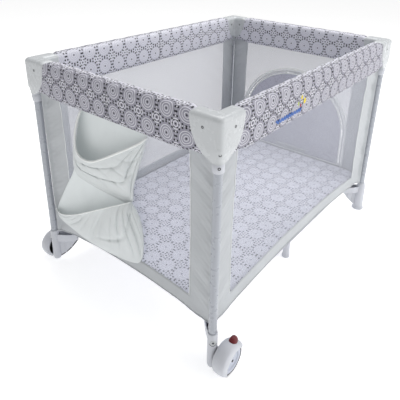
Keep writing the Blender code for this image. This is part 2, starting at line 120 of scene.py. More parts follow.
class Side(Enum):
    """The four sides: outward normal, and the corner that a wall rides with."""

    FRONT = ((0, -1), Corner.FRONT_LEFT, Corner.FRONT_RIGHT)
    REAR = ((0, 1), Corner.REAR_LEFT, Corner.REAR_RIGHT)
    LEFT = ((-1, 0), Corner.FRONT_LEFT, Corner.REAR_LEFT)
    RIGHT = ((1, 0), Corner.FRONT_RIGHT, Corner.REAR_RIGHT)

    @property
    def label(self) -> str:
        """Side name as the frame's nodes spell it."""
        return self.name.lower()

    @property
    def long(self) -> bool:
        """True on the two sides that run along X."""
        return self.value[0][0] == 0

    @property
    def outward(self) -> Vector:
        """Unit vector that points out of the pen."""
        return Vector((*self.value[0], 0))

    @property
    def home(self) -> Corner:
        """Corner that the wall rides with."""
        return self.value[1]

    @property
    def halves(self) -> tuple[str, str]:
        """Names of the two half rails."""
        return ("left", "right") if self.long else ("front", "rear")


# ---- shader bench ---------------------------------------------------------------------------------
class ShaderBench:
    """Small helper that wires a material's node tree."""

    def __init__(self, name: str) -> None:
        """Start a material with a lone Principled shader.

        Args:
            name: Material name.
        """
        self.material = bpy.data.materials.new(name)
        self.material.use_nodes = True
        self.tree = self.material.node_tree
        self.shader = self.tree.nodes["Principled BSDF"]

    def link(self, source: bpy.types.NodeSocket, target: bpy.types.NodeSocket) -> None:
        """Join two sockets."""
        self.tree.links.new(source, target)

    def feed(self, socket: bpy.types.NodeSocket, value: object) -> None:
        """Give a socket a link, a number or a vector.

        Args:
            socket: Input to fill.
            value: A socket, a float or a tuple.
        """
        if isinstance(value, bpy.types.NodeSocket):
            self.link(value, socket)
        else:
            socket.default_value = value

    def node(self, kind: str, **settings: object) -> bpy.types.Node:
        """Add a node and set its properties.

        Args:
            kind: Node type without its ShaderNode prefix.
            **settings: Attributes to set on it.

        Returns:
            The new node.
        """
        made = self.tree.nodes.new(f"ShaderNode{kind}")
        for key, value in settings.items():
            setattr(made, key, value)
        return made

    def sum(self, operation: str, a: object, b: object = 0.0, c: object = 0.0) -> bpy.types.NodeSocket:
        """One Math node.

        Args:
            operation: Blender's name for the operation.
            a: First operand.
            b: Second operand.
            c: Third operand.

        Returns:
            The result's socket.
        """
        made = self.node("Math", operation=operation)
        for socket, value in zip(made.inputs, (a, b, c)):
            self.feed(socket, value)
        return made.outputs[0]

    def ramp(self, value: object, low: float, high: float, out_low: float = 0.0, out_high: float = 1.0,
             smooth: bool = True) -> bpy.types.NodeSocket:
        """Map a range to another, eased at both ends.

        Args:
            value: Input socket.
            low: Start of the input range.
            high: End of the input range.
            out_low: Output at low.
            out_high: Output at high.
            smooth: Ease in and out.

        Returns:
            The mapped socket.
        """
        made = self.node("MapRange", interpolation_type="SMOOTHSTEP" if smooth else "LINEAR")
        self.feed(made.inputs["Value"], value)
        for key, number in (("From Min", low), ("From Max", high), ("To Min", out_low), ("To Max", out_high)):
            made.inputs[key].default_value = number
        return made.outputs["Result"]

    def mix(self, share: object, a: object, b: object) -> bpy.types.NodeSocket:
        """Mix two colours.

        Args:
            share: 0 gives a, 1 gives b.
            a: Colour or socket.
            b: Colour or socket.

        Returns:
            The mixed colour's socket.
        """
        made = self.node("Mix", data_type="RGBA")
        self.feed(made.inputs["Factor"], share)
        self.feed(made.inputs[6], (*a, 1.0) if isinstance(a, tuple) else a)
        self.feed(made.inputs[7], (*b, 1.0) if isinstance(b, tuple) else b)
        return made.outputs[2]

    def place(self, uv: Optional[str] = None) -> bpy.types.NodeSocket:
        """Coordinates: a named UV layer in metres, or the object's own.

        Args:
            uv: UV layer, or None for object coordinates.

        Returns:
            A vector socket.
        """
        if uv:
            return self.node("UVMap", uv_map=uv).outputs[0]
        return self.node("TexCoord").outputs["Object"]

    def noise(self, place: object, scale: float, detail: float = 2.0, stretch: Point = (1, 1, 1),
              roughness: float = 0.5) -> bpy.types.NodeSocket:
        """Fractal noise.

        Args:
            place: Coordinates.
            scale: Cells per metre.
            detail: Octaves.
            stretch: Scale along each axis.
            roughness: Weight of the finer octaves.

        Returns:
            The noise value from 0 to 1.
        """
        mapping = self.node("Mapping")
        self.link(place, mapping.inputs["Vector"])
        mapping.inputs["Scale"].default_value = stretch
        made = self.node("TexNoise")
        self.link(mapping.outputs[0], made.inputs["Vector"])
        made.inputs["Scale"].default_value = scale
        made.inputs["Detail"].default_value = detail
        made.inputs["Roughness"].default_value = roughness
        return made.outputs["Fac"]

    def split(self, place: object) -> tuple[bpy.types.NodeSocket, bpy.types.NodeSocket, bpy.types.NodeSocket]:
        """Split a vector into its three parts."""
        made = self.node("SeparateXYZ")
        self.link(place, made.inputs[0])
        return made.outputs[0], made.outputs[1], made.outputs[2]

    def bump(self, height: object, distance: float, strength: float = 1.0) -> None:
        """Drive the shader's normal with a height.

        Args:
            height: Height socket, 0 to 1.
            distance: Height in metres at 1.
            strength: Share of the effect.
        """
        made = self.node("Bump")
        made.inputs["Strength"].default_value = strength
        made.inputs["Distance"].default_value = distance
        self.feed(made.inputs["Height"], height)
        self.link(made.outputs[0], self.shader.inputs["Normal"])


# ---- finishes -------------------------------------------------------------------------------------
@dataclass(frozen=True)
class MouldedPlastic:
    """Injection-moulded plastic: faint colour drift, fine grain and handling marks in the gloss."""

    name: str
    colour: Colour
    roughness: float = 0.32
    grain: float = 0.00006
    dirt: float = 0.06

    def material(self) -> bpy.types.Material:
        """Wire the material.

        Returns:
            The finished material.
        """
        bench = ShaderBench(self.name)
        place = bench.place()
        drift = bench.noise(place, 14.0, 3.0)
        scuff = bench.noise(place, 55.0, 3.0)
        darker = tuple(c * (1 - self.dirt) for c in self.colour)
        lighter = tuple(min(1.0, c * (1 + self.dirt * 0.4)) for c in self.colour)
        bench.feed(bench.shader.inputs["Base Color"], bench.mix(bench.ramp(drift, 0.3, 0.7), darker, lighter))
        bench.feed(bench.shader.inputs["Roughness"],
                   bench.ramp(scuff, 0.25, 0.8, self.roughness - 0.07, self.roughness + 0.12))
        bench.shader.inputs["Specular IOR Level"].default_value = 0.5
        bench.bump(bench.noise(place, 1400.0, 2.0), self.grain)
        return bench.material


@dataclass(frozen=True)
class PaintedSteel:
    """Powder-coated tube: even colour, orange-peel bump and a thin clear gloss."""

    name: str
    colour: Colour
    roughness: float = 0.30

    def material(self) -> bpy.types.Material:
        """Wire the material.

        Returns:
            The finished material.
        """
        bench = ShaderBench(self.name)
        place = bench.place()
        peel = bench.noise(place, 620.0, 2.0)
        drift = bench.noise(place, 5.0, 2.0, (1, 1, 0.4))
        low = tuple(c * 0.94 for c in self.colour)
        high = tuple(min(1.0, c * 1.05) for c in self.colour)
        bench.feed(bench.shader.inputs["Base Color"], bench.mix(drift, low, high))
        bench.feed(bench.shader.inputs["Roughness"],
                   bench.ramp(bench.noise(place, 60.0, 3.0), 0.3, 0.7, self.roughness - 0.05,
                              self.roughness + 0.08))
        bench.shader.inputs["Metallic"].default_value = 0.15
        bench.shader.inputs["Coat Weight"].default_value = 0.25
        bench.shader.inputs["Coat Roughness"].default_value = 0.2
        bench.bump(peel, 0.00005)
        return bench.material


@dataclass(frozen=True)
class PrintedCloth:
    """Woven cloth with the pen's print: rings of fine lines in a square repeat, dotted where repeats meet, on
    a ground that may be painted darker on one part of the section as painted shade.
    """

    name: str
    ground: Colour
    line: Colour
    dot: Colour
    repeat: float = 0.062
    line_pitch: float = 0.0066
    line_share: float = 0.85
    dot_share: float = 1.0
    dot_size: float = 0.0021
    dots_round: int = 14
    roughness: float = 0.82
    inner_from: float = 0.0
    inner_ground: Colour = (0.5, 0.5, 0.5)
    circle: float = 0.0252
    dots_radius: float = 0.0285
    cluster_radius: float = 0.0100
    cluster_dots: int = 6
    weave_pitch: float = 0.0011

    def _around(self, bench: ShaderBench, u: object, v: object, radius: float, count: int,
                size: float) -> bpy.types.NodeSocket:
        """Dots set evenly round a circle.

        Args:
            bench: Shader bench.
            u: Offset from the circle's centre along the cloth.
            v: Offset across the cloth.
            radius: Circle radius.
            count: Number of dots.
            size: Dot radius.

        Returns:
            A mask, 1 on a dot.
        """
        reach = bench.sum("SQRT", bench.sum("ADD", bench.sum("MULTIPLY", u, u), bench.sum("MULTIPLY", v, v)))
        turn = bench.sum("MULTIPLY", bench.sum("ARCTAN2", v, u), count / math.tau)
        slice_turn = bench.sum("MULTIPLY", bench.sum("SUBTRACT",
                                                     bench.sum("FRACT", bench.sum("ADD", turn, 64.5)), 0.5),
                               math.tau / count)
        along = bench.sum("SUBTRACT", bench.sum("MULTIPLY", reach, bench.sum("COSINE", slice_turn)), radius)
        across = bench.sum("MULTIPLY", reach, bench.sum("SINE", slice_turn))
        away = bench.sum("SQRT", bench.sum("ADD", bench.sum("MULTIPLY", along, along),
                                           bench.sum("MULTIPLY", across, across)))
        return bench.ramp(away, size * 0.75, size * 1.25, 1.0, 0.0)

    def material(self) -> bpy.types.Material:
        """Wire the material.

        Returns:
            The finished material.
        """
        bench = ShaderBench(self.name)
        place = bench.place("print")
        x, y, _ = bench.split(place)

        def cell(value: object, shift: float) -> bpy.types.NodeSocket:
            """Offset from the middle of the repeat, shifted by a share of it."""
            turned = bench.sum("FRACT", bench.sum("MULTIPLY_ADD", value, 1 / self.repeat, 50.5 + shift))
            return bench.sum("MULTIPLY", bench.sum("SUBTRACT", turned, 0.5), self.repeat)

        u, v = cell(x, 0.0), cell(y, 0.0)
        u_edge, v_edge = cell(x, 0.5), cell(y, 0.5)
        reach = bench.sum("SQRT", bench.sum("ADD", bench.sum("MULTIPLY", u, u), bench.sum("MULTIPLY", v, v)))
        wave = bench.sum("FRACT", bench.sum("MULTIPLY", reach, 1 / self.line_pitch))
        ridge = bench.sum("ABSOLUTE", bench.sum("SUBTRACT", wave, 0.5))
        inside = bench.ramp(reach, self.circle - 0.0007, self.circle + 0.0006, 1.0, 0.0)
        lines = bench.sum("MULTIPLY", bench.ramp(ridge, 0.32, 0.42), inside)
        corner_reach = bench.sum("SQRT", bench.sum("ADD", bench.sum("MULTIPLY", u_edge, u_edge),
                                                   bench.sum("MULTIPLY", v_edge, v_edge)))
        corner_wave = bench.sum("FRACT", bench.sum("MULTIPLY", corner_reach, 1 / self.line_pitch))
        corner_ridge = bench.sum("ABSOLUTE", bench.sum("SUBTRACT", corner_wave, 0.5))
        star = bench.sum("MULTIPLY", bench.ramp(corner_ridge, 0.26, 0.36), bench.ramp(reach, 0.0300, 0.0312))
        lines = bench.sum("MAXIMUM", lines, star)
        core = bench.ramp(reach, 0.0020, 0.0030, 1.0, 0.0)
        size = self.dot_size
        dots = bench.sum("MAXIMUM", self._around(bench, u, v, self.dots_radius, self.dots_round, size), core)
        cluster = self._around(bench, u_edge, v_edge, self.cluster_radius, self.cluster_dots, size * 0.75)
        dots = bench.sum("MAXIMUM", dots, cluster)
        dots = bench.sum("MAXIMUM", dots, bench.ramp(corner_reach, 0.0018, 0.0028, 1.0, 0.0))
        shade = bench.noise(place, 9.0, 3.0)
        ground = bench.mix(bench.ramp(shade, 0.3, 0.7), tuple(c * 0.95 for c in self.ground),
                           tuple(min(1.0, c * 1.04) for c in self.ground))
        # Painted shade: on the rails the ground stays dark round the underside and outer face and turns
        # lighter over the top and inner face, standing for how the light falls.
        if self.inner_from:
            inner = bench.ramp(y, self.inner_from - 0.001, self.inner_from + 0.001)
            ground = bench.mix(inner, ground, self.inner_ground)
        drawn = bench.mix(bench.sum("MULTIPLY", lines, self.line_share), ground, self.line)
        drawn = bench.mix(bench.sum("MULTIPLY", dots, self.dot_share), drawn, self.dot)
        bench.feed(bench.shader.inputs["Base Color"], drawn)
        warp = bench.sum("SINE", bench.sum("MULTIPLY", x, math.tau / self.weave_pitch))
        weft = bench.sum("SINE", bench.sum("MULTIPLY", y, math.tau / self.weave_pitch))
        weave = bench.sum("MULTIPLY", warp, weft)
        fuzz = bench.noise(place, 240.0, 3.0)
        bench.bump(bench.sum("ADD", bench.sum("MULTIPLY", weave, 0.25), fuzz), 0.0004, 0.6)
        bench.feed(bench.shader.inputs["Roughness"],
                   bench.ramp(fuzz, 0.3, 0.7, self.roughness - 0.06, self.roughness + 0.08))
        bench.shader.inputs["Sheen Weight"].default_value = 0.15
        return bench.material


@dataclass(frozen=True)
class PlainCloth:
    """Thin plain-woven polyester with soft creases and an even colour, with an optional painted glow:
    emission that lifts cloth lying in shade.
    """

    name: str
    colour: Colour
    crease: float = 0.0006
    roughness: float = 0.78
    glow: float = 0.0

    def material(self) -> bpy.types.Material:
        """Wire the material.

        Returns:
            The finished material.
        """
        bench = ShaderBench(self.name)
        place = bench.place()
        drift = bench.noise(place, 7.0, 3.0)
        low = tuple(c * 0.955 for c in self.colour)
        high = tuple(min(1.0, c * 1.03) for c in self.colour)
        bench.feed(bench.shader.inputs["Base Color"], bench.mix(bench.ramp(drift, 0.3, 0.7), low, high))
        crease = bench.noise(place, 26.0, 4.0, (1.0, 1.0, 0.55), 0.45)
        weave = bench.noise(place, 1500.0, 1.0)
        bench.bump(bench.sum("ADD", crease, bench.sum("MULTIPLY", weave, 0.06)), self.crease * 6, 0.5)
        bench.feed(bench.shader.inputs["Roughness"],
                   bench.ramp(weave, 0.3, 0.7, self.roughness - 0.05, self.roughness + 0.05))
        bench.shader.inputs["Sheen Weight"].default_value = 0.12
        # Painted light: the cloth emits its own colour, a glow that brightens it as if lit, though it is no
        # lamp.
        if self.glow:
            bench.feed(bench.shader.inputs["Emission Color"], bench.mix(0.5, low, high))
            bench.shader.inputs["Emission Strength"].default_value = self.glow
        return bench.material


@dataclass(frozen=True)
class NetCloth:
    """Fine warp-knit net: round holes in a staggered grid, so what lies behind shows through a veil."""

    name: str
    colour: Colour
    pitch: float = 0.0026
    hole: float = 0.38
    thread: float = 0.90

    def material(self) -> bpy.types.Material:
        """Wire the material.

        Returns:
            The finished material.
        """
        bench = ShaderBench(self.name)
        place = bench.place("print")
        x, y, _ = bench.split(place)
        across = bench.sum("SINE", bench.sum("MULTIPLY", bench.sum("ADD", x, y), math.tau / self.pitch))
        along = bench.sum("SINE", bench.sum("MULTIPLY", bench.sum("SUBTRACT", x, y), math.tau / self.pitch))
        holes = bench.sum("MULTIPLY", across, along)
        drift = bench.noise(place, 5.0, 2.0)
        bench.feed(bench.shader.inputs["Base Color"],
                   bench.mix(drift, tuple(c * 0.96 for c in self.colour),
                             tuple(min(1, c * 1.03) for c in self.colour)))
        bench.feed(bench.shader.inputs["Alpha"], bench.ramp(holes, -0.3, 0.45, self.hole, self.thread))
        bench.feed(bench.shader.inputs["Roughness"], bench.ramp(holes, -1.0, 1.0, 0.75, 0.88))
        bench.shader.inputs["Sheen Weight"].default_value = 0.1
        return bench.material


class Finishes:
    """The finishes in use, each wired once."""

    WHITE_COVER = MouldedPlastic("white_cover_plastic", (0.52, 0.54, 0.555), 0.24, 0.00003, 0.02)
    GREY_MOULDING = MouldedPlastic("pale_grey_moulding", (0.56, 0.575, 0.62), 0.36)
    WHEEL_DISC = MouldedPlastic("wheel_disc_plastic", (0.50, 0.53, 0.62), 0.40)
    DARK_MOULDING = MouldedPlastic("dark_moulding", (0.030, 0.031, 0.035), 0.45)
    SCREW_HEAD = MouldedPlastic("screw_head", (0.035, 0.037, 0.045), 0.35)
    TYRE = MouldedPlastic("tyre_rubber", (0.012, 0.012, 0.014), 0.6, 0.00004)
    RED_LEVER = MouldedPlastic("red_lever", (0.13, 0.002, 0.007), 0.45)
    TUBE = PaintedSteel("painted_tube", (0.37, 0.39, 0.43))
    # The rail print's dark ground is painted shade on the underside and outer face of the rails; its lighter
    # ground over the top and inner face is painted light.
    RAIL_PRINT = PrintedCloth("rail_print", (0.29, 0.285, 0.34), (0.74, 0.74, 0.79), (0.004, 0.004, 0.010),
                              line_share=0.9,
                              dot_size=0.0029, dots_round=16, inner_from=0.155,
                              inner_ground=(0.56, 0.56, 0.63))
    PAD_PRINT = PrintedCloth("mattress_print", (0.62, 0.63, 0.72), (0.72, 0.73, 0.80), (0.005, 0.005, 0.012),
                             line_share=0.5, dot_size=0.0031)
    FLAP_PRINT = PrintedCloth("flap_print", (0.50, 0.50, 0.58), (0.66, 0.66, 0.73), (0.26, 0.26, 0.33),
                              line_share=0.6, dot_share=0.5)
    STRIP = PlainCloth("pale_strip_cloth", (0.485, 0.505, 0.525))
    PIPING = PlainCloth("white_piping", (0.82, 0.84, 0.83), 0.0002)
    # The bag cloths carry a painted glow: a faint one on the pocket fronts and a stronger one on the back
    # panel, which lies in the pockets' shade.
    BAG = PlainCloth("bag_cloth", (0.62, 0.65, 0.655), 0.0010, glow=0.04)
    BAG_INSIDE = PlainCloth("bag_back_cloth", (0.62, 0.655, 0.66), 0.0006, glow=0.20)
    UNDERSIDE = PlainCloth("floor_cloth_weave", (0.50, 0.51, 0.57))
    NET = NetCloth("fine_net", (0.53, 0.545, 0.61), hole=0.20, thread=0.66)
    # Painted shade: the rear and right walls get a darker, more opaque copy of the same net, so the far walls
    # read greyer.
    DENSE_NET = NetCloth("dense_net", (0.50, 0.51, 0.56), hole=0.58, thread=0.94)

    def __init__(self) -> None:
        """Start with nothing wired."""
        self._wired: dict[str, bpy.types.Material] = {}

    def get(self, finish: object) -> bpy.types.Material:
        """The material of a finish, wired on first use.

        Args:
            finish: One of the finishes above.

        Returns:
            Its material.
        """
        if finish.name not in self._wired:
            self._wired[finish.name] = finish.material()
        return self._wired[finish.name]


FINISHES = Finishes()


# ---- mesh bench -----------------------------------------------------------------------------------
def add_piece(name: str, mesh: bpy.types.Mesh, finishes: Sequence[object], body: Optional[str],
              smooth: bool = True) -> bpy.types.Object:
    """Link a mesh as a piece that rides on a body.

    Args:
        name: Piece name.
        mesh: Its mesh, in the frame's axes.
        finishes: One finish for each material index.
        body: The body it rides on, or None to leave it unattached.
        smooth: Shade the faces smooth.

    Returns:
        The new object.
    """
    obj = bpy.data.objects.new(name, mesh)
    bpy.context.scene.collection.objects.link(obj)
    mesh.materials.clear()
    for finish in finishes:
        mesh.materials.append(FINISHES.get(finish))
    mesh.polygons.foreach_set("use_smooth", [smooth] * len(mesh.polygons))
    bpy.context.view_layer.update()
    if body:
        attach(obj, body)
    LOG.info("%s: %d faces on %s", name, len(mesh.polygons), body or "two bodies")
    return obj


def mesh_of(build: bmesh.types.BMesh, name: str, recalculate: bool = True) -> bpy.types.Mesh:
    """Turn a bmesh into a mesh.

    Args:
        build: The bmesh, freed here.
        name: Mesh name.
        recalculate: Turn the faces outwards.

    Returns:
        The mesh.
    """
    if recalculate:
        bmesh.ops.recalc_face_normals(build, faces=build.faces)
    mesh = bpy.data.meshes.new(name)
    build.to_mesh(mesh)
    build.free()
    return mesh


def loft(name: str, rings: Sequence[Sequence[Vector]], uv: Optional[Callable[[int, int],
                                                                             tuple[float, float]]] = None,
         cap: bool = True) -> bpy.types.Mesh:
    """Skin closed rings into a solid.

    Args:
        name: Mesh name.
        rings: Rings of the same point count.
        uv: Gives the print coordinates of ring i, point j, where j may be the count itself.
        cap: Close both ends.

    Returns:
        The mesh.
    """
    build = bmesh.new()
    layer = build.loops.layers.uv.new("print")
    grid = [[build.verts.new(p) for p in ring] for ring in rings]
    count = len(rings[0])
    for i in range(len(rings) - 1):
        for j in range(count):
            k = (j + 1) % count
            face = build.faces.new((grid[i][j], grid[i][k], grid[i + 1][k], grid[i + 1][j]))
            if uv:
                spots = (uv(i, j), uv(i, j + 1), uv(i + 1, j + 1), uv(i + 1, j))
                for loop, spot in zip(face.loops, spots):
                    loop[layer].uv = spot
    if cap:
        build.faces.new(list(reversed(grid[0])))
        build.faces.new(grid[-1])
    return mesh_of(build, name)


def sheet_mesh(name: str, rows: Sequence[Sequence[Vector]], spots: Sequence[Sequence[tuple[float, float]]],
               keep: Optional[Callable[[int, int], bool]] = None) -> bpy.types.Mesh:
    """Skin a grid of points into a sheet.

    Args:
        name: Mesh name.
        rows: Rows of points.
        spots: Print coordinates of the same points.
        keep: Says which cells are part of the sheet.

    Returns:
        The mesh, with unused points left out.
    """
    build = bmesh.new()
    layer = build.loops.layers.uv.new("print")
    made: dict[tuple[int, int], bmesh.types.BMVert] = {}

    def vert(i: int, j: int) -> bmesh.types.BMVert:
        """The vertex of a grid point, made on first use."""
        if (i, j) not in made:
            made[(i, j)] = build.verts.new(rows[i][j])
        return made[(i, j)]

    for i in range(len(rows) - 1):
        for j in range(len(rows[0]) - 1):
            if keep and not keep(i, j):
                continue
            ring = ((i, j), (i, j + 1), (i + 1, j + 1), (i + 1, j))
            face = build.faces.new([vert(*at) for at in ring])
            for loop, (a, b) in zip(face.loops, ring):
                loop[layer].uv = spots[a][b]
    return mesh_of(build, name, recalculate=False)


def thicken(obj: bpy.types.Object, thickness: float, offset: float = 0.0) -> None:
    """Give a sheet a real thickness, applied at once.

    Args:
        obj: The sheet.
        thickness: Its thickness.
        offset: -1 inwards, 1 outwards.
    """
    solid = obj.modifiers.new("thickness", "SOLIDIFY")
    solid.thickness = thickness
    solid.offset = offset
    apply_modifiers(obj)


def apply_modifiers(obj: bpy.types.Object) -> None:
    """Swap an object's mesh for its evaluated one and drop the modifiers."""
    bpy.context.view_layer.update()
    graph = bpy.context.evaluated_depsgraph_get()
    done = bpy.data.meshes.new_from_object(obj.evaluated_get(graph), preserve_all_data_layers=True,
                                           depsgraph=graph)
    obj.modifiers.clear()
    obj.data = done


def round_cord(name: str, points: Sequence[Vector], radius: float, finish: object, body: str,
               closed: bool = False) -> bpy.types.Object:
    """A thin round welt or wire along points, as a mesh.

    Args:
        name: Piece name.
        points: Points it passes through.
        radius: Its radius.
        finish: Its finish.
        body: The body it rides on.
        closed: Join the last point to the first.

    Returns:
        The new object.
    """
    curve = bpy.data.curves.new(name, "CURVE")
    curve.dimensions = "3D"
    curve.bevel_depth = radius
    curve.bevel_resolution = 2
    curve.use_fill_caps = True
    spline = curve.splines.new("POLY")
    spline.points.add(len(points) - 1)
    for spot, point in zip(spline.points, points):
        spot.co = (*point, 1)
    spline.use_cyclic_u = closed
    holder = bpy.data.objects.new(name, curve)
    mesh = bpy.data.meshes.new_from_object(holder)
    bpy.data.objects.remove(holder)
    bpy.data.curves.remove(curve)
    return add_piece(name, mesh, [finish], body)


def turned_mesh(name: str, profile: Sequence[tuple[float, float]], centre: Vector, axis: Vector,
                sides: int = 32) -> bpy.types.Mesh:
    """Turn a profile round an axis.

    Args:
        name: Mesh name.
        profile: (radius, height) pairs from one end to the other; a radius of 0 closes an end.
        centre: Origin of the profile.
        axis: Axis direction.
        sides: Points round.

    Returns:
        The mesh.
    """
    turn = Vector(axis).to_track_quat("Z", "Y")
    build = bmesh.new()
    rings = []
    for radius, height in profile:
        if radius <= 1e-6:
            rings.append([build.verts.new(centre + turn @ Vector((0, 0, height)))])
            continue
        ring = []
        for k in range(sides):
            a = math.tau * k / sides
            ring.append(build.verts.new(centre + turn @ Vector((radius * math.cos(a), radius * math.sin(a),
                                                                height))))
        rings.append(ring)
    for one, two in zip(rings, rings[1:]):
        for k in range(sides):
            n = (k + 1) % sides
            if len(one) == 1:
                build.faces.new((one[0], two[k], two[n]))
            elif len(two) == 1:
                build.faces.new((one[k], one[n], two[0]))
            else:
                build.faces.new((one[k], one[n], two[n], two[k]))
    return mesh_of(build, name)


def eased(value: float) -> float:
    """Smooth step from 0 to 1."""
    value = min(1.0, max(0.0, value))
    return value * value * (3 - 2 * value)


def corner_mirrored(mesh: bpy.types.Mesh, corner: Corner) -> bpy.types.Mesh:
    """Move a mesh made in the corner frame to one corner.

    Args:
        mesh: Mesh with its origin under the leg and x, y pointing into the pen.
        corner: Where it goes.

    Returns:
        A new mesh in the frame's axes.
    """
    copy = mesh.copy()
    sx, sy = corner.inward
    copy.transform(Matrix.Translation(leg_axis(corner)) @ Matrix.Diagonal((sx, sy, 1, 1)))
    if sx * sy < 0:
        copy.flip_normals()
    return copy


# ---- corner covers --------------------------------------------------------------------------------
@dataclass
class CornerCovers:
    """Moulded covers over the four top corners, with their screws and the lug under each."""

    outer: float = -0.020
    inner: float = 0.026
    top: float = 0.760
    tip: float = 0.645
    lug_low: float = 0.6185
    lug_radius: float = 0.0150
    screw_radius: float = 0.0036
    screw_height: float = 0.7280
    edge: tuple[tuple[float, float], ...] = (
        (0.760, 0.078), (0.735, 0.0768), (0.706, 0.070), (0.682, 0.058), (0.661, 0.038), (0.650, 0.022),
        (0.645, 0.012))

    def reach(self, z: float) -> float:
        """How far a wing reaches from the leg axis at a height."""
        for (za, ra), (zb, rb) in zip(self.edge, self.edge[1:]):
            if z >= zb:
                share = (z - zb) / (za - zb)
                return rb + (ra - rb) * share
        return self.edge[-1][1]

    def ring(self, z: float, inset: float, height: float) -> list[Vector]:
        """Rounded L section of the cover.

        Args:
            z: Height that sets the wings' reach.
            inset: How far the outline is pulled in.
            height: Height at which the ring is laid.

        Returns:
            The ring's points.
        """
        reach = self.reach(z)
        squeeze = eased((z - self.tip) / 0.035)
        low = self.outer + inset + (1 - squeeze) * 0.004
        thick = max(0.008, (0.013 + (self.inner - 0.013) * squeeze)) - inset
        far = max(reach - inset, thick + 0.001)
        corners = [
            (low, low, 0.016 - inset * 0.5), (far, low, 0.010), (far, thick, 0.006),
            (thick, thick, -0.010 * squeeze), (thick, far, 0.006), (low, far, 0.010),
        ]
        points: list[Vector] = []
        count = len(corners)
        for k, (x, y, r) in enumerate(corners):
            px, py, _ = corners[k - 1]
            nx, ny, _ = corners[(k + 1) % count]
            to_prev, to_next = Vector((px - x, py - y)), Vector((nx - x, ny - y))
            room = min(to_prev.length, to_next.length) * 0.48
            radius = min(abs(r), room)
            a = Vector((x, y)) + to_prev.normalized() * radius
            b = Vector((x, y)) + to_next.normalized() * radius
            for step in range(7):
                t = step / 6
                mid = a * (1 - t) ** 2 + Vector((x, y)) * (2 * t * (1 - t)) + b * t ** 2
                points.append(Vector((mid.x, mid.y, height)))
        return points

    def shell(self) -> bpy.types.Mesh:
        """The cover in the corner frame.

        Returns:
            A closed mesh.
        """
        rings = []
        levels = [self.tip + (self.top - 0.012 - self.tip) * (k / 22) ** 1.15 for k in range(23)]
        rings.append(self.ring(self.tip, 0.0035, self.tip - 0.0012))
        for z in levels:
            rings.append(self.ring(z, 0.0, z))
        for k in range(1, 8):
            a = math.pi / 2 * k / 7
            rings.append(self.ring(self.top, 0.012 * (1 - math.cos(a)), self.top - 0.012 * (1 - math.sin(a))))
        rings.append(self.ring(self.top, 0.0165, self.top + 0.0002))
        return loft("cover", rings)

    def screw(self, at: Vector, axis: Vector, radius: float) -> bpy.types.Mesh:
        """A recessed dark screw head.

        Args:
            at: Centre on the cover's face.
            axis: Outward direction.
            radius: Head radius.

        Returns:
            The mesh.
        """
        profile = [(0, -0.004), (radius, -0.004), (radius, 0.0002), (radius * 0.86, 0.0006),
                   (radius * 0.45, 0.0003),
                   (radius * 0.30, -0.0008), (0, -0.0009)]
        return turned_mesh("screw", profile, at, axis, 20)

    def build(self) -> None:
        """Build and dress all four covers."""
        shell = self.shell()
        lug_profile = [(0, self.lug_low), (0.0118, self.lug_low), (self.lug_radius, self.lug_low + 0.003),
                       (self.lug_radius, self.tip + 0.01), (0, self.tip + 0.012)]
        lug = turned_mesh("lug", lug_profile, Vector(), Vector((0, 0, 1)), 32)
        out = self.outer
        spots = {
            "x": (Vector((0.033, out, self.screw_height)), Vector((0, -1, 0)), self.screw_radius),
            "y": (Vector((out, 0.033, self.screw_height)), Vector((-1, 0, 0)), self.screw_radius),
            "low": (Vector((out + 0.0050, out + 0.0050, 0.6720)), Vector((-1, -1, 0)), 0.0038),
            "in_x": (Vector((0.052, self.inner, self.screw_height)), Vector((0, 1, 0)), self.screw_radius),
            "in_y": (Vector((self.inner, 0.052, self.screw_height)), Vector((1, 0, 0)), self.screw_radius),
            "lug": (Vector((-0.0104, -0.0104, 0.6345)), Vector((-1, -1, 0)), 0.0040),
        }
        for corner in Corner:
            body = f"corner_{corner.label}"
            cover = add_piece(f"cover_{corner.label}", corner_mirrored(shell, corner), [Finishes.WHITE_COVER],
                              body)
            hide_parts(f"corner_cover_{corner.label}")
            cover.data.set_sharp_from_angle(angle=math.radians(60))
            under = add_piece(f"cover_lug_{corner.label}", corner_mirrored(lug, corner),
                              [Finishes.GREY_MOULDING], body)
            for key, (at, axis, radius) in spots.items():
                head = add_piece(f"cover_screw_{key}_{corner.label}",
                                 corner_mirrored(self.screw(at, axis, radius), corner),
                                 [Finishes.SCREW_HEAD], body)


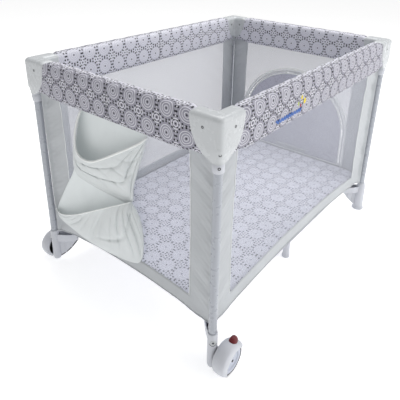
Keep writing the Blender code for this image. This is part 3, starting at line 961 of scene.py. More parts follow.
# ---- padded rails ---------------------------------------------------------------------------------
@dataclass
class PaddedRails:
    """Printed padded sleeves, one round each half rail."""

    half_thick: float = 0.0232
    half_tall: float = 0.0553
    tuck: float = 0.050
    rings: int = 64
    points: int = 44
    seed: int = 7

    def section(self, turn: float, squash: float) -> tuple[float, float]:
        """Point of the padded section.

        Args:
            turn: Angle round the section, 0 at the bottom.
            squash: Scale of the section.

        Returns:
            Offsets across and up.
        """
        power = 0.42
        across, up = math.sin(turn), -math.cos(turn)
        bulge = 1.0 + 0.02 * up
        return (math.copysign(abs(across) ** power, across) * self.half_thick * squash * bulge,
                math.copysign(abs(up) ** 0.36, up) * self.half_tall * squash)

    def build(self) -> None:
        """Build and dress the eight half sleeves."""
        for side in Side:
            for near in side.halves:
                self.half(side, near)

    def half(self, side: Side, near: str) -> None:
        """One half sleeve.

        Args:
            side: Side of the pen.
            near: Which half.
        """
        node = f"sleeve_{side.label}_{near}"
        low, high = node_box(node)
        centre = (low + high) / 2
        along = Vector((1, 0, 0)) if side.long else Vector((0, 1, 0))
        out = side.outward
        axis = 0 if side.long else 1
        far_first = abs(low[axis] - (0.025 if side.long else 0.0)) > abs(high[axis]
                                                                         - (0.025 if side.long else 0.0))
        start, end = (low[axis], high[axis]) if far_first else (high[axis], low[axis])
        way = 1 if end > start else -1
        start -= way * self.tuck
        drift = random.Random(self.seed + hash_name(node))
        phases = [drift.uniform(0, math.tau) for _ in range(6)]
        rings, lengths = [], []
        for i in range(self.rings + 1):
            share = i / self.rings
            place = start + (end - start) * share
            depth = abs(place - start)
            snug = 0.90 + 0.10 * eased((depth - self.tuck + 0.006) / 0.02)
            puff = 1.0 - 0.012 * (0.5 + 0.5 * math.sin(place * 38 + phases[0]))
            ring = []
            for j in range(self.points):
                turn = math.tau * j / self.points
                a, b = self.section(turn, snug)
                ripple = 0.0007 * math.sin(place * 95 + 2.0 * turn + phases[1])
                ripple += 0.0005 * math.sin(place * 61 - 3.0 * turn + phases[2])
                a *= puff + ripple / self.half_thick
                point = centre.copy()
                point[axis] = place
                point += out * a + Vector((0, 0, b + 0.4 * ripple))
                ring.append(point)
            rings.append(ring)
            lengths.append(place)
        around = [0.0]
        for j in range(self.points):
            one, two = self.section(math.tau * j / self.points,
                                    1), self.section(math.tau * (j + 1) / self.points, 1)
            around.append(around[-1] + math.dist(one, two))
        shift = 0.0 if side.long else 0.031

        def spot(i: int, j: int) -> tuple[float, float]:
            """Print coordinates of ring i, point j."""
            return lengths[i] + shift, around[j] + 0.012

        piece = add_piece(f"padded_{node}", loft(node, rings, spot), [Finishes.RAIL_PRINT], None)
        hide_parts(node)
        bend_start, bend_end = centre.copy(), centre.copy()
        bend_start[axis] = end - way * 0.110
        bend_end[axis] = end - way * 0.006
        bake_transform(piece)


def hash_name(name: str) -> int:
    """A small number that depends on a name only."""
    return sum((k + 1) * ord(letter) for k, letter in enumerate(name)) % 997


# ---- fabric walls ---------------------------------------------------------------------------------
@dataclass
class FabricWalls:
    """The four fabric sides: creased plain strips by the legs, a hem band and a net window."""

    strip: float = 0.082
    band: float = 0.046
    top: float = 0.657
    sag: float = 0.006
    columns: int = 100
    seed: int = 3
    keep_long: float = 0.298
    keep_short: float = 0.357
    tube_reach: float = 0.0105
    tube_wrap: float = 0.010
    hem_corner: float = 0.130
    hem_mid_long: float = 0.166
    hem_mid_short: float = 0.160
    high_rows: int = 120

    def hem(self, share: float, side: Side) -> float:
        """Height of the hem at a place from -1 to 1 along the side."""
        mid = self.hem_mid_long if side.long else self.hem_mid_short
        return mid - (mid - self.hem_corner) * abs(share) ** 2.2

    def push(self, side: Side, s: float, half: float, z: float, phases: Sequence[float]) -> float:
        """How far the cloth stands outwards at a point.

        Args:
            side: Which side.
            s: Distance from the middle of the side.
            half: Half the side's length.
            z: Height.
            phases: Random phases of the folds.

        Returns:
            Outward offset.
        """
        share = abs(s) / half
        tall = (z - self.hem_corner) / (self.top - self.hem_corner)
        sag = -self.sag * (1 - share ** 4) * math.sin(math.pi * min(1, max(0, tall)))
        edge = half - abs(s)
        near = math.exp(-edge / 0.075)
        ends = 0.35 + 0.65 * abs(2 * tall - 1) ** 1.2
        k = 0 if s < 0 else 1
        folds = math.sin((z - 0.9 * edge) * math.tau / 0.092 + phases[k])
        folds += 0.6 * math.sin((z - 0.55 * edge) * math.tau / 0.057 + phases[2 + k])
        pull = 0.0030 * near * ends * folds * eased(edge / 0.012)
        for count, (pitch, size, lean) in enumerate(((0.021, 0.0011, 0.8), (0.013, 0.0007, 0.45))):
            wave = math.sin((z - lean * edge) * math.tau / pitch + phases[k] * (count + 2) + 3
                            * math.sin(z * 23))
            pull += size * wave * math.exp(-edge / 0.05) * eased(edge / 0.008)
        soft = 0.0016 * math.sin(s * 21 + phases[4]) * math.sin(math.pi * tall)
        hang = 0.0012 * math.sin(s * math.tau / 0.115 + phases[5]) * math.exp(-(self.top - z) / 0.08)
        hang *= eased(edge / 0.05)
        wrap = self.tube_reach * (1 - eased(edge / self.tube_wrap))
        return sag + pull + soft + hang + wrap

    def build(self) -> None:
        """Build and dress all four sides."""
        for side in Side:
            self.wall(side)

    def wall(self, side: Side) -> None:
        """One side: its cloth frame, its net and its binding.

        Args:
            side: Which side.
        """
        node = f"wall_{side.label}"
        low, high = node_box(node)
        axis = 0 if side.long else 1
        centre = (low + high) / 2
        half = (high[axis] - low[axis]) / 2
        out = side.outward
        drift = random.Random(self.seed + hash_name(node))
        phases = [drift.uniform(0, math.tau) for _ in range(6)]
        gaps = [0.002, 0.004, 0.0065] + [self.strip * k / 14 for k in range(2, 15)]
        wraps = {round(sign * (half - gap), 5) for sign in (-1, 1) for gap in gaps}
        even = {round(-half + 2 * half * k / self.columns, 5) for k in range(self.columns + 1)}
        inner = {s for s in even if abs(s) < half - self.strip - 0.003}
        stops = sorted(inner | wraps | {round(-half, 5), round(half, 5)})
        levels = [self.band * k / 5 for k in range(6)]
        rows, spots = [], []
        for i in range(len(levels) + self.high_rows):
            row, spot_row = [], []
            for s in stops:
                base = self.hem(s / half, side)
                z = base + levels[i] if i < len(levels) else (
                    base + self.band + (self.top - base - self.band) * (i - len(levels) + 1) / self.high_rows)
                point = centre.copy()
                point[axis] = centre[axis] + s
                point.z = z
                point += out * self.push(side, s, half, z, phases)
                row.append(point)
                spot_row.append((s, z))
            rows.append(row)
            spots.append(spot_row)
        edge = half - self.strip
        door = DoorPanel() if side is Side.RIGHT else None

        def is_cloth(i: int, j: int) -> bool:
            """True for the cells of the strips and the hem band."""
            mid = (stops[j] + stops[j + 1]) / 2
            return i < len(levels) - 1 or abs(mid) > edge

        def is_net(i: int, j: int) -> bool:
            """True for the cells of the net window."""
            if is_cloth(i, j):
                return False
            if door is None:
                return True
            corner = [spots[a][b] for a in (i, i + 1) for b in (j, j + 1)]
            return any(not door.inside(y, z) for y, z in corner)

        body = f"corner_{side.home.label}"
        cloth = add_piece(f"cloth_{side.label}", sheet_mesh(node, rows, spots, is_cloth), [Finishes.STRIP],
                          body)
        thicken(cloth, 0.0012)
        # The front and left walls take the see-through net; the rear and right walls take its darker copy as
        # painted shade.
        weave = Finishes.NET if side in (Side.FRONT, Side.LEFT) else Finishes.DENSE_NET
        net = add_piece(f"net_{side.label}", sheet_mesh(node, rows, spots, is_net), [weave], body)
        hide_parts(node)
        tall = self.top - self.hem_corner
        width, window = 2 * half, 2 * half - 2 * self.strip
        net_area = window * (tall - self.band)
        if door:
            net_area -= door.area()
        welt_points = [p + out * 0.0008 for p in rows[0]]
        welt = round_cord(f"hem_welt_{side.label}", welt_points, 0.0016, Finishes.STRIP, body)
        seams = []
        for s in (-edge, edge):
            j = min(range(len(stops)), key=lambda k: abs(stops[k] - s))
            line_points = [rows[i][j] + out * 0.0008 for i in range(len(levels) - 1, len(rows), 2)]
            end = "a" if s < 0 else "b"
            seam = round_cord(f"strip_seam_{side.label}_{end}", line_points, 0.0009, Finishes.PIPING, body)
            seams.append(seam)
        for piece in (cloth, net, welt, *seams):
            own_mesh(piece)


# ---- door -----------------------------------------------------------------------------------------
@dataclass
class DoorPanel:
    """Arched zip doorway: the printed flap, its two welts and the zip between them."""

    half: float = 0.250
    sill: float = 0.182
    spring: float = 0.320
    crown: float = 0.555

    def inside(self, y: float, z: float) -> bool:
        """True where a point of the wall lies in the doorway."""
        if abs(y) >= self.half or z <= self.sill:
            return False
        if z <= self.spring:
            return True
        return z < self.spring + (self.crown - self.spring) * math.sqrt(1 - (y / self.half) ** 2)

    def area(self) -> float:
        """Flat area of the doorway."""
        return 2 * self.half * (self.spring - self.sill) + math.pi / 2 * self.half * (self.crown
                                                                                      - self.spring)

    def arch(self, grow: float, steps: int = 40) -> list[tuple[float, float]]:
        """Outline from the right sill corner over the arch to the left one.

        Args:
            grow: How far the outline stands outside the doorway.
            steps: Points over the arch.

        Returns:
            (across, height) pairs.
        """
        half = self.half + grow
        points = [(half, self.sill + (self.spring - self.sill) * k / 8) for k in range(8)]
        for k in range(steps + 1):
            turn = math.pi * k / steps
            points.append((half * math.cos(turn), self.spring + (self.crown + grow - self.spring)
                           * math.sin(turn)))
        points += [(-half, self.spring - (self.spring - self.sill) * k / 8) for k in range(1, 9)]
        return points

    def bow(self, y: float, z: float) -> float:
        """Outward offset of the wall round the doorway."""
        tall = (z - 0.13) / 0.527
        return -0.006 * (1 - (abs(y) / 0.344) ** 4) * math.sin(math.pi * tall)

    def build(self) -> None:
        """Build and dress the door."""
        low, high = node_box("door_flap")
        x = (low.x + high.x) / 2
        rows, spots = [], []
        for i in range(41):
            z = self.sill + (self.crown - self.sill) * i / 40
            reach = self.half - 0.004
            if z > self.spring:
                reach *= math.sqrt(max(0.0, 1 - ((z - self.spring) / (self.crown - self.spring)) ** 2))
            reach = max(reach, 0.004)
            row, spot_row = [], []
            for j in range(49):
                y = reach * (2 * j / 48 - 1)
                wave = 0.0012 * math.sin(y * 30 + z * 18) * math.sin(math.pi * i / 40)
                row.append(Vector((x + self.bow(y, z) + wave, y, z)))
                spot_row.append((y, z))
            rows.append(row)
            spots.append(spot_row)
        flap = add_piece("door_cloth", sheet_mesh("door_cloth", rows, spots), [Finishes.FLAP_PRINT], "door")
        thicken(flap, 0.0012)
        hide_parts("door_flap")
        lines = []
        for name, grow, radius, finish, body in (
                ("door_welt", -0.006, 0.0030, Finishes.PIPING, "door"),
                ("door_zip", 0.004, 0.0022, Finishes.STRIP, "corner_front_right"),
                ("door_frame_welt", 0.014, 0.0040, Finishes.PIPING, "corner_front_right")):
            run = [Vector((x + self.bow(y, z), y, z)) for y, z in self.arch(grow)]
            lines.append(round_cord(name, run, radius, finish, body))
        sill = [Vector((x + self.bow(y, self.sill), y, self.sill - 0.001)) for y in
                [self.half * (k / 20 - 1) for k in range(41)]]
        lines.append(round_cord("door_sill_welt", sill, 0.0022, Finishes.PIPING, "corner_front_right"))
        for piece in (flap, *lines):
            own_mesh(piece)


# ---- mattress and floor ---------------------------------------------------------------------------
@dataclass
class Mattress:
    """Printed quilted mattress with a sewn welt round it."""

    corner: float = 0.045
    crease_depth: float = 0.004
    crease_lines: tuple[float, ...] = (-0.5, 0.0, 0.5)
    edge_round: float = 0.022
    columns: int = 84
    rows: int = 56

    def outline(self, half_x: float, half_y: float, radius: float,
                steps: int = 8) -> list[tuple[float, float]]:
        """Rounded rectangle.

        Args:
            half_x: Half its length.
            half_y: Half its width.
            radius: Corner radius.
            steps: Points round each corner.

        Returns:
            (x, y) pairs.
        """
        points = []
        for quarter in range(4):
            cx = (half_x - radius) * (1 if quarter in (0, 3) else -1)
            cy = (half_y - radius) * (1 if quarter in (0, 1) else -1)
            for k in range(steps + 1):
                turn = math.pi / 2 * (quarter + k / steps)
                points.append((cx + radius * math.cos(turn), cy + radius * math.sin(turn)))
        return points

    def build(self) -> None:
        """Build and dress the mattress."""
        low, high = node_box("mattress")
        centre = (low + high) / 2
        half_x, half_y = (high.x - low.x) / 2, (high.y - low.y) / 2
        mid, half_z = centre.z, (high.z - low.z) / 2
        cols, rows = self.columns, self.rows
        build = bmesh.new()
        layer = build.loops.layers.uv.new("print")

        def spot(i: int, j: int, top: int) -> Vector:
            """Point of the upper face (top 1) or the lower one (top -1)."""
            u, v = 2 * i / cols - 1, 2 * j / rows - 1
            x, y = u * half_x, v * half_y
            over_x, over_y = abs(x) - (half_x - self.corner), abs(y) - (half_y - self.corner)
            if over_x > 0 and over_y > 0:
                reach = math.hypot(over_x, over_y)
                limit = max(over_x, over_y)
                scale = limit / reach
                x = math.copysign(half_x - self.corner + over_x * scale, x)
                y = math.copysign(half_y - self.corner + over_y * scale, y)
            edge = min(half_x - abs(u) * half_x, half_y - abs(v) * half_y)
            crown = math.sqrt(max(0.0, 1 - (1 - min(1.0, edge / self.edge_round)) ** 2))
            z = mid + top * half_z * (0.12 + 0.88 * crown)
            if top > 0:
                for line in self.crease_lines:
                    away = abs(x - line * half_x) / 0.010
                    z -= self.crease_depth * math.exp(-away * away) * crown
                z += 0.0008 * math.sin(x * 31 + 1.0) * math.sin(y * 27 + 0.4) * crown
            return Vector((centre.x + x, centre.y + y, z))

        faces = {}
        for top in (1, -1):
            grid = [[build.verts.new(spot(i, j, top)) for j in range(rows + 1)] for i in range(cols + 1)]
            faces[top] = grid
            for i in range(cols):
                for j in range(rows):
                    ring = [grid[i][j], grid[i + 1][j], grid[i + 1][j + 1], grid[i][j + 1]]
                    face = build.faces.new(ring if top > 0 else list(reversed(ring)))
                    for loop in face.loops:
                        loop[layer].uv = (loop.vert.co.x, loop.vert.co.y)
        rim = ([(i, 0) for i in range(cols)] + [(cols, j) for j in range(rows)]
               + [(i, rows) for i in range(cols, 0, -1)] + [(0, j) for j in range(rows, 0, -1)])
        for k, (i, j) in enumerate(rim):
            m, n = rim[(k + 1) % len(rim)]
            face = build.faces.new((faces[-1][i][j], faces[-1][m][n], faces[1][m][n], faces[1][i][j]))
            for loop in face.loops:
                loop[layer].uv = (loop.vert.co.x + loop.vert.co.z, loop.vert.co.y)
        piece = add_piece("mattress_pad_cover", mesh_of(build, "mattress"), [Finishes.PAD_PRINT],
                          "mattress_pad")
        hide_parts("mattress")
        ring = [Vector((centre.x + x, centre.y + y, mid)) for x, y in
                self.outline(half_x - 0.0005, half_y - 0.0005, self.corner)]
        welt = round_cord("mattress_welt", ring, 0.0022, Finishes.UNDERSIDE, "mattress_pad", closed=True)
        for part in (piece, welt):
            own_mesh(part)


@dataclass
class FloorCloth:
    """Cloth floor under the mattress, cut in four quarters that go with the base tubes when it folds."""

    thickness: float = 0.0012

    def build(self) -> None:
        """Build and dress the four quarters."""
        low, high = node_box("floor_cloth")
        middle = (low + high) / 2
        first = True
        for corner in Corner:
            sx, sy = corner.value
            rows, spots = [], []
            for i in range(25):
                row, spot_row = [], []
                for j in range(17):
                    x = middle.x + sx * (0.0004 + (high.x - middle.x - 0.0004) * i / 24)
                    y = middle.y + sy * (0.0004 + (high.y - middle.y - 0.0004) * j / 16)
                    z = middle.z - 0.0010 * math.sin(x * 17) * math.sin(y * 19)
                    row.append(Vector((x, y, z)))
                    spot_row.append((x, y))
                rows.append(row)
                spots.append(spot_row)
            name = f"floor_quarter_{corner.label}"
            piece = add_piece(name, sheet_mesh(name, rows, spots), [Finishes.UNDERSIDE],
                              f"base_{corner.label}")
            thicken(piece, self.thickness)
            if first:
                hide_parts("floor_cloth")
                first = False
            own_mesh(piece)


# ---- toy bag --------------------------------------------------------------------------------------
@dataclass
class ToyBag:
    """Hanging toy bag in thin white cloth: one back panel and two gaping pockets sewn on it.

    Every outline is given flat, as (across, height) on the wall. A pocket's cloth stands off the wall
    along lean, because the loaded mouths gape outwards, forwards and up.
    """

    body: str = "corner_front_left"
    lean: Point = (-1.0, -1.15, 0.86)
    back_gap: float = 0.0030
    upper_gape: float = 0.044
    lower_gape: float = 0.042
    seam_lift: float = 0.006
    pocket_rows: int = 64
    pocket_columns: int = 140
    cord_steps: int = 90
    back_left: tuple[tuple[float, float], ...] = (
        (0.143, 0.670), (0.167, 0.604), (0.192, 0.526), (0.212, 0.440), (0.225, 0.402), (0.277, 0.325),
        (0.338, 0.222), (0.328, 0.190), (0.262, 0.176), (0.170, 0.166), (0.088, 0.168))
    back_right: tuple[tuple[float, float], ...] = (
        (-0.136, 0.664), (-0.122, 0.630), (-0.103, 0.580), (-0.082, 0.528), (-0.058, 0.459), (-0.046, 0.405),
        (-0.060, 0.388), (-0.076, 0.360), (-0.088, 0.320), (-0.089, 0.268), (-0.071, 0.209))
    upper_lip: tuple[tuple[float, float], ...] = (
        (0.147, 0.640), (0.168, 0.595), (0.183, 0.546), (0.185, 0.500), (0.166, 0.474), (0.119, 0.475),
        (0.067, 0.500), (0.010, 0.535), (-0.049, 0.573), (-0.094, 0.605), (-0.118, 0.628))
    upper_edge: tuple[tuple[float, float], ...] = (
        (0.147, 0.640), (0.181, 0.583), (0.200, 0.523), (0.212, 0.463), (0.214, 0.431), (0.196, 0.404),
        (0.129, 0.396), (0.040, 0.394), (-0.044, 0.402), (-0.058, 0.459), (-0.082, 0.528), (-0.103, 0.580),
        (-0.118, 0.628))
    lower_lip: tuple[tuple[float, float], ...] = (
        (0.338, 0.222), (0.325, 0.212), (0.282, 0.223), (0.217, 0.254), (0.155, 0.290), (0.070, 0.340),
        (0.005, 0.377), (-0.044, 0.405))
    lower_edge: tuple[tuple[float, float], ...] = (
        (0.338, 0.222), (0.328, 0.190), (0.262, 0.175), (0.172, 0.165), (0.061, 0.171), (-0.042, 0.190),
        (-0.077, 0.216), (-0.089, 0.268), (-0.088, 0.326), (-0.077, 0.367), (-0.059, 0.392), (-0.044, 0.405))

    @staticmethod
    def along(points: Sequence[tuple[float, float]], share: float) -> tuple[float, float]:
        """Place on a smooth line through points.

        Args:
            points: The points it passes through.
            share: 0 at the first, 1 at the last, by length.

        Returns:
            (across, height).
        """
        spans = [math.dist(a, b) for a, b in zip(points, points[1:])]
        left = min(max(share, 0.0), 1.0) * sum(spans)
        k = 0
        while k < len(spans) - 1 and left > spans[k]:
            left -= spans[k]
            k += 1
        t = min(1.0, left / spans[k])
        before, one, two = points[max(k - 1, 0)], points[k], points[k + 1]
        after = points[min(k + 2, len(points) - 1)]
        spot = []
        for c in (0, 1):
            a, b, m, n = before[c], one[c], two[c], after[c]
            spot.append(0.5 * (2 * b + (m - a) * t + (2 * a - 5 * b + 4 * m - n) * t * t
                               + (3 * b - a - 3 * m + n) * t ** 3))
        return spot[0], spot[1]

    def lifted(self, across: float, height: float, depth: float) -> Vector:
        """Point of the wall moved out by a depth along lean."""
        return Vector((self.back, across, height)) + Vector(self.lean) * depth

    def build(self) -> None:
        """Build and dress the bag."""
        wall_low, _ = node_box("wall_left")
        self.back = wall_low.x - self.back_gap
        self.back_panel()
        self.pocket("bag_upper_pocket", "toy_bag_upper", self.upper_lip, self.upper_edge, self.upper_depth)
        self.pocket("bag_lower_pocket", "toy_bag_lower", self.lower_lip, self.lower_edge, self.lower_depth)
        self.lip_cord("bag_upper_lip", self.upper_lip, self.upper_depth, 0.0034)
        self.lip_cord("bag_lower_lip", self.lower_lip, self.lower_depth, 0.0018)
        self.edge_cord("bag_upper_seam", self.upper_edge, 0.0016)
        self.edge_cord("bag_lower_seam", self.lower_edge, 0.0016)

    def back_panel(self) -> None:
        """The panel that both pockets are sewn on."""
        rows, spots = [], []
        for i in range(61):
            t = i / 60
            left, right = self.along(self.back_left, t), self.along(self.back_right, t)
            row, spot_row = [], []
            for j in range(49):
                s = j / 48
                across, height = left[0] + (right[0] - left[0]) * s, left[1] + (right[1] - left[1]) * s
                soft = 0.0016 * math.sin(24 * s + 9 * t) * math.sin(math.pi * s)
                row.append(self.lifted(across, height, 0.0015 + soft * 0.6))
                spot_row.append((across, height))
            rows.append(row)
            spots.append(spot_row)
        piece = add_piece("bag_back", sheet_mesh("bag_back", rows, spots), [Finishes.BAG_INSIDE], self.body)
        thicken(piece, 0.0010)
        self.fold(piece)

    def upper_depth(self, s: float, t: float) -> float:
        """How far the upper pocket stands off, s along its lip and t from lip to edge."""
        mouth = self.upper_gape * math.sin(math.pi * min(1.0, s)) ** 0.75
        fall = (1 - t) ** 0.8 * 0.78 + 0.22 * (1 - t * t)
        inner = math.sin(math.pi * min(1, t * 1.05)) ** 0.6
        radial = 0.0075 * self.crease(9.5 * t + 2.4 * s + 0.5 * math.sin(7 * s)) * eased((s - 0.12) / 0.4)
        fan = 0.0060 * self.crease(13 * s + 3.0 * t + 0.9 * math.sin(4 * t)) * (1 - 0.6
                                                                                * eased((s - 0.4) / 0.4))
        fine = 0.0030 * self.crease(26 * s - 8 * t + 1.3)
        swell = 0.0030 * math.sin(11 * s + 4 * t)
        return self.seam_lift + mouth * fall + (radial + fan + fine + swell) * inner * math.sin(math.pi
                                                                                                * s) ** 0.5

    def lower_depth(self, s: float, t: float) -> float:
        """How far the lower pocket stands off, s along its lip and t from lip to edge."""
        mouth = self.lower_gape * math.sin(math.pi * min(1.0, s * 0.97 + 0.015)) ** 0.6
        belly = 1 - t ** 2.4
        slant = 14 * s + 6.5 * t + 0.7 * math.sin(5 * t)
        drape = 0.0075 * self.crease(slant)
        fine = 0.0038 * self.crease(2.2 * slant + 4 * s + 0.7)
        swell = 0.0032 * math.sin(9 * s + 5 * t + 0.5)
        tuck = -0.006 * math.exp(-((t - 0.50 + 0.35 * (s - 0.75)) / 0.035) ** 2) * eased((s - 0.35) / 0.2)
        waves = (drape + fine + swell) * math.sin(math.pi * t) ** 0.6
        return self.seam_lift + mouth * belly + (waves + tuck) * math.sin(math.pi * s) ** 0.5

    @staticmethod
    def crease(value: float) -> float:
        """A run of soft swells, 0 to -1, with a narrow valley between each two."""
        return -(1 - abs(math.sin(value))) ** 2.6

    def pocket(self, name: str, node: str, lip: Sequence[tuple[float, float]],
               edge: Sequence[tuple[float, float]],
               depth: Callable[[float, float], float]) -> None:
        """The front cloth of one pocket, from its lip to the edge sewn on the back.

        Args:
            name: Piece name.
            node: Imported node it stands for.
            lip: Line of the mouth.
            edge: Line of the seam, with the same ends.
            depth: Gives the distance off the wall.
        """
        rows, spots = [], []
        for i in range(self.pocket_rows + 1):
            t = i / self.pocket_rows
            row, spot_row = [], []
            for j in range(self.pocket_columns + 1):
                s = j / self.pocket_columns
                one, two = self.along(lip, s), self.along(edge, s)
                across, height = one[0] + (two[0] - one[0]) * t, one[1] + (two[1] - one[1]) * t
                row.append(self.lifted(across, height, depth(s, t)))
                spot_row.append((across, height))
            rows.append(row)
            spots.append(spot_row)
        piece = add_piece(name, sheet_mesh(name, rows, spots), [Finishes.BAG], self.body)
        thicken(piece, 0.0010)
        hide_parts(node)
        self.fold(piece)

    def lip_cord(self, name: str, lip: Sequence[tuple[float, float]], depth: Callable[[float, float], float],
                 radius: float) -> None:
        """The rolled hem round a mouth."""
        shares = [k / self.cord_steps for k in range(self.cord_steps + 1)]
        points = [self.lifted(*self.along(lip, share), depth(share, 0.0)) for share in shares]
        cord = round_cord(name, points, radius, Finishes.PIPING, self.body)
        self.fold(cord)

    def edge_cord(self, name: str, edge: Sequence[tuple[float, float]], radius: float) -> None:
        """The bound seam round a pocket."""
        shares = [k / self.cord_steps for k in range(self.cord_steps + 1)]
        points = [self.lifted(*self.along(edge, share), 0.004) for share in shares]
        cord = round_cord(name, points, radius, Finishes.BAG, self.body)
        self.fold(cord)

    def fold(self, piece: bpy.types.Object) -> None:
        """Give a piece its own copy of its mesh."""
        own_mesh(piece)


# ---- carried-over frame pieces --------------------------------------------------------------------
@dataclass
class FramePieces:
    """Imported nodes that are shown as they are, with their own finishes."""

    finishes: dict[str, object] = field(default_factory=lambda: {
        "leg_tube": Finishes.TUBE, "rail_tube": Finishes.TUBE, "base_tube": Finishes.TUBE,
        "latch_button": Finishes.DARK_MOULDING, "latch": Finishes.WHITE_COVER,
                "caster_wheel": Finishes.WHEEL_DISC, "caster_tyre": Finishes.TYRE,
        "base_hub": Finishes.DARK_MOULDING, "mid_support": Finishes.GREY_MOULDING,
    })

    def dress(self) -> None:
        """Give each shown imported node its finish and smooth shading."""
        for name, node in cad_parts.items():
            for prefix, finish in self.finishes.items():
                if name.startswith(prefix):
                    node.data.materials.clear()
                    node.data.materials.append(FINISHES.get(finish))
                    node.data.polygons.foreach_set("use_smooth", [True] * len(node.data.polygons))
                    node.data.set_sharp_from_angle(angle=math.radians(32))
                    break
        LOG.info("packed nodes dressed")

    def build(self) -> None:
        """Dress the nodes."""
        self.dress()


# ---- casters --------------------------------------------------------------------------------------
@dataclass
class CasterUnits:
    """Rounded hood, axle and foot knob of each caster, made in the corner frame."""

    wheel_x: float = 0.020
    wheel_y: float = -0.041
    wheel_z: float = 0.044
    back: float = -0.0175
    face: float = -0.0592
    first: float = math.radians(24)
    last: float = math.radians(237)
    radius: float = 0.0498
    flare: float = 0.0060
    inside: float = 0.0468
    knob: Point = (0.0415, -0.0405, 0.0868)
    knob_half: tuple[float, float] = (0.0145, 0.0115)
    knob_height: float = 0.0160
    arc_steps: int = 60

    def outer(self, turn: float) -> float:
        """Radius of the hood at an angle round the axle, kept off the floor."""
        radius = self.radius + self.flare * (1 - eased((turn - self.first) / 0.5))
        fall = -math.sin(turn)
        return min(radius, (self.wheel_z - 0.003) / fall) if fall > 0.1 else radius

    def lip(self, turn: float) -> float:
        """How near the axle the hood's front comes at an angle."""
        share = (turn - self.first) / (self.last - self.first)
        return 0.0440 - 0.0300 * math.sin(math.pi * min(max(share, 0.0), 1.0)) ** 0.8

    def hood(self) -> bpy.types.Mesh:
        """The hood's shell.

        Returns:
            A closed mesh in the corner frame.
        """
        rings = []
        for k in range(self.arc_steps + 1):
            turn = self.first + (self.last - self.first) * k / self.arc_steps
            r, lip, inner = self.outer(turn), self.lip(turn), self.inside
            section = (
                (0.0200, self.back), (r - 0.0110, self.back), (r - 0.0040, self.back - 0.0018),
                (r - 0.0008, self.back - 0.0065), (r, self.back - 0.0130), (r, self.face + 0.0170),
                (r - 0.0010, self.face + 0.0090), (r - 0.0036, self.face + 0.0034),
                (r - 0.0080, self.face + 0.0006), (min(lip + 0.0010, r - 0.0085), self.face),
                       (lip, self.face + 0.0008),
                (lip, self.face + 0.0020), (0.0445, self.face + 0.0024), (inner, self.face + 0.0050),
                (inner, self.back - 0.0040), (0.0200, self.back - 0.0036))
            across, up = math.cos(turn), math.sin(turn)
            rings.append([Vector((self.wheel_x + a * across, y, self.wheel_z + a * up)) for a, y in section])
        return loft("hood", rings)

    def dome(self) -> bpy.types.Mesh:
        """The knob that the foot presses.

        Returns:
            A closed mesh in the corner frame.
        """
        rings = []
        for k in range(13):
            a = math.pi / 2 * k / 12
            scale = max(math.cos(a) ** 0.75, 0.06)
            height = self.knob[2] + self.knob_height * math.sin(a)
            ring = []
            for j in range(36):
                turn = math.tau * j / 36
                x = math.copysign(abs(math.cos(turn)) ** 0.8, math.cos(turn)) * self.knob_half[0] * scale
                y = math.copysign(abs(math.sin(turn)) ** 0.8, math.sin(turn)) * self.knob_half[1] * scale
                ring.append(Vector((self.knob[0] + x + 0.10 * (height - self.knob[2]), self.knob[1] + y,
                                    height)))
            rings.append(ring)
        return loft("dome", rings)

    def build(self) -> None:
        """Build and dress both casters."""
        y_axis = Vector((0, -1, 0))
        centre = Vector((self.wheel_x, self.back, self.wheel_z))
        plate = turned_mesh("plate", [(0, 0), (0.0385, 0), (0.0400, 0.0012), (0.0400, 0.0036), (0, 0.0036)],
                            centre, y_axis,
                            48)
        axle = turned_mesh("axle", [(0, 0.002), (0.0040, 0.002), (0.0040, 0.0392), (0.0028, 0.0400),
                                    (0, 0.0400)], centre,
                           y_axis, 24)
        link = turned_mesh("link", [(0, 0), (0.0125, 0), (0.0125, 0.0190), (0, 0.0190)],
                           Vector((0.010, 0.0, 0.056)),
                           y_axis, 32)
        skin = [(0.0387, -0.0150), (0.0422, -0.0153), (0.0436, -0.0146), (0.0440, -0.0125), (0.0440, -0.0050)]
        skin += [(radius, -height) for radius, height in reversed(skin)]
        tyre = turned_mesh("tyre", skin + skin[:1], Vector((self.wheel_x, self.wheel_y, self.wheel_z)),
                           y_axis, 64)
        for corner in (Corner.FRONT_LEFT, Corner.REAR_LEFT):
            body = f"corner_{corner.label}"
            ring = add_piece(f"tyre_{corner.label}", corner_mirrored(tyre, corner), [Finishes.TYRE],
                             f"wheel_{corner.label}")
            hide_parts(f"caster_tyre_{corner.label}")
            hood = add_piece(f"hood_{corner.label}", corner_mirrored(self.hood(), corner),
                             [Finishes.GREY_MOULDING], body)
            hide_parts(f"caster_hood_{corner.label}")
            hood.data.set_sharp_from_angle(angle=math.radians(50))
            knob = add_piece(f"knob_{corner.label}", corner_mirrored(self.dome(), corner),
                             [Finishes.RED_LEVER],
                             f"brake_{corner.label}")
            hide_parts(f"brake_lever_{corner.label}")
            for name, mesh, finish in (("plate", plate, Finishes.GREY_MOULDING),
                                       ("link", link, Finishes.GREY_MOULDING),
                                       ("axle", axle, Finishes.SCREW_HEAD)):
                piece = add_piece(f"hood_{name}_{corner.label}", corner_mirrored(mesh, corner), [finish],
                                  body)


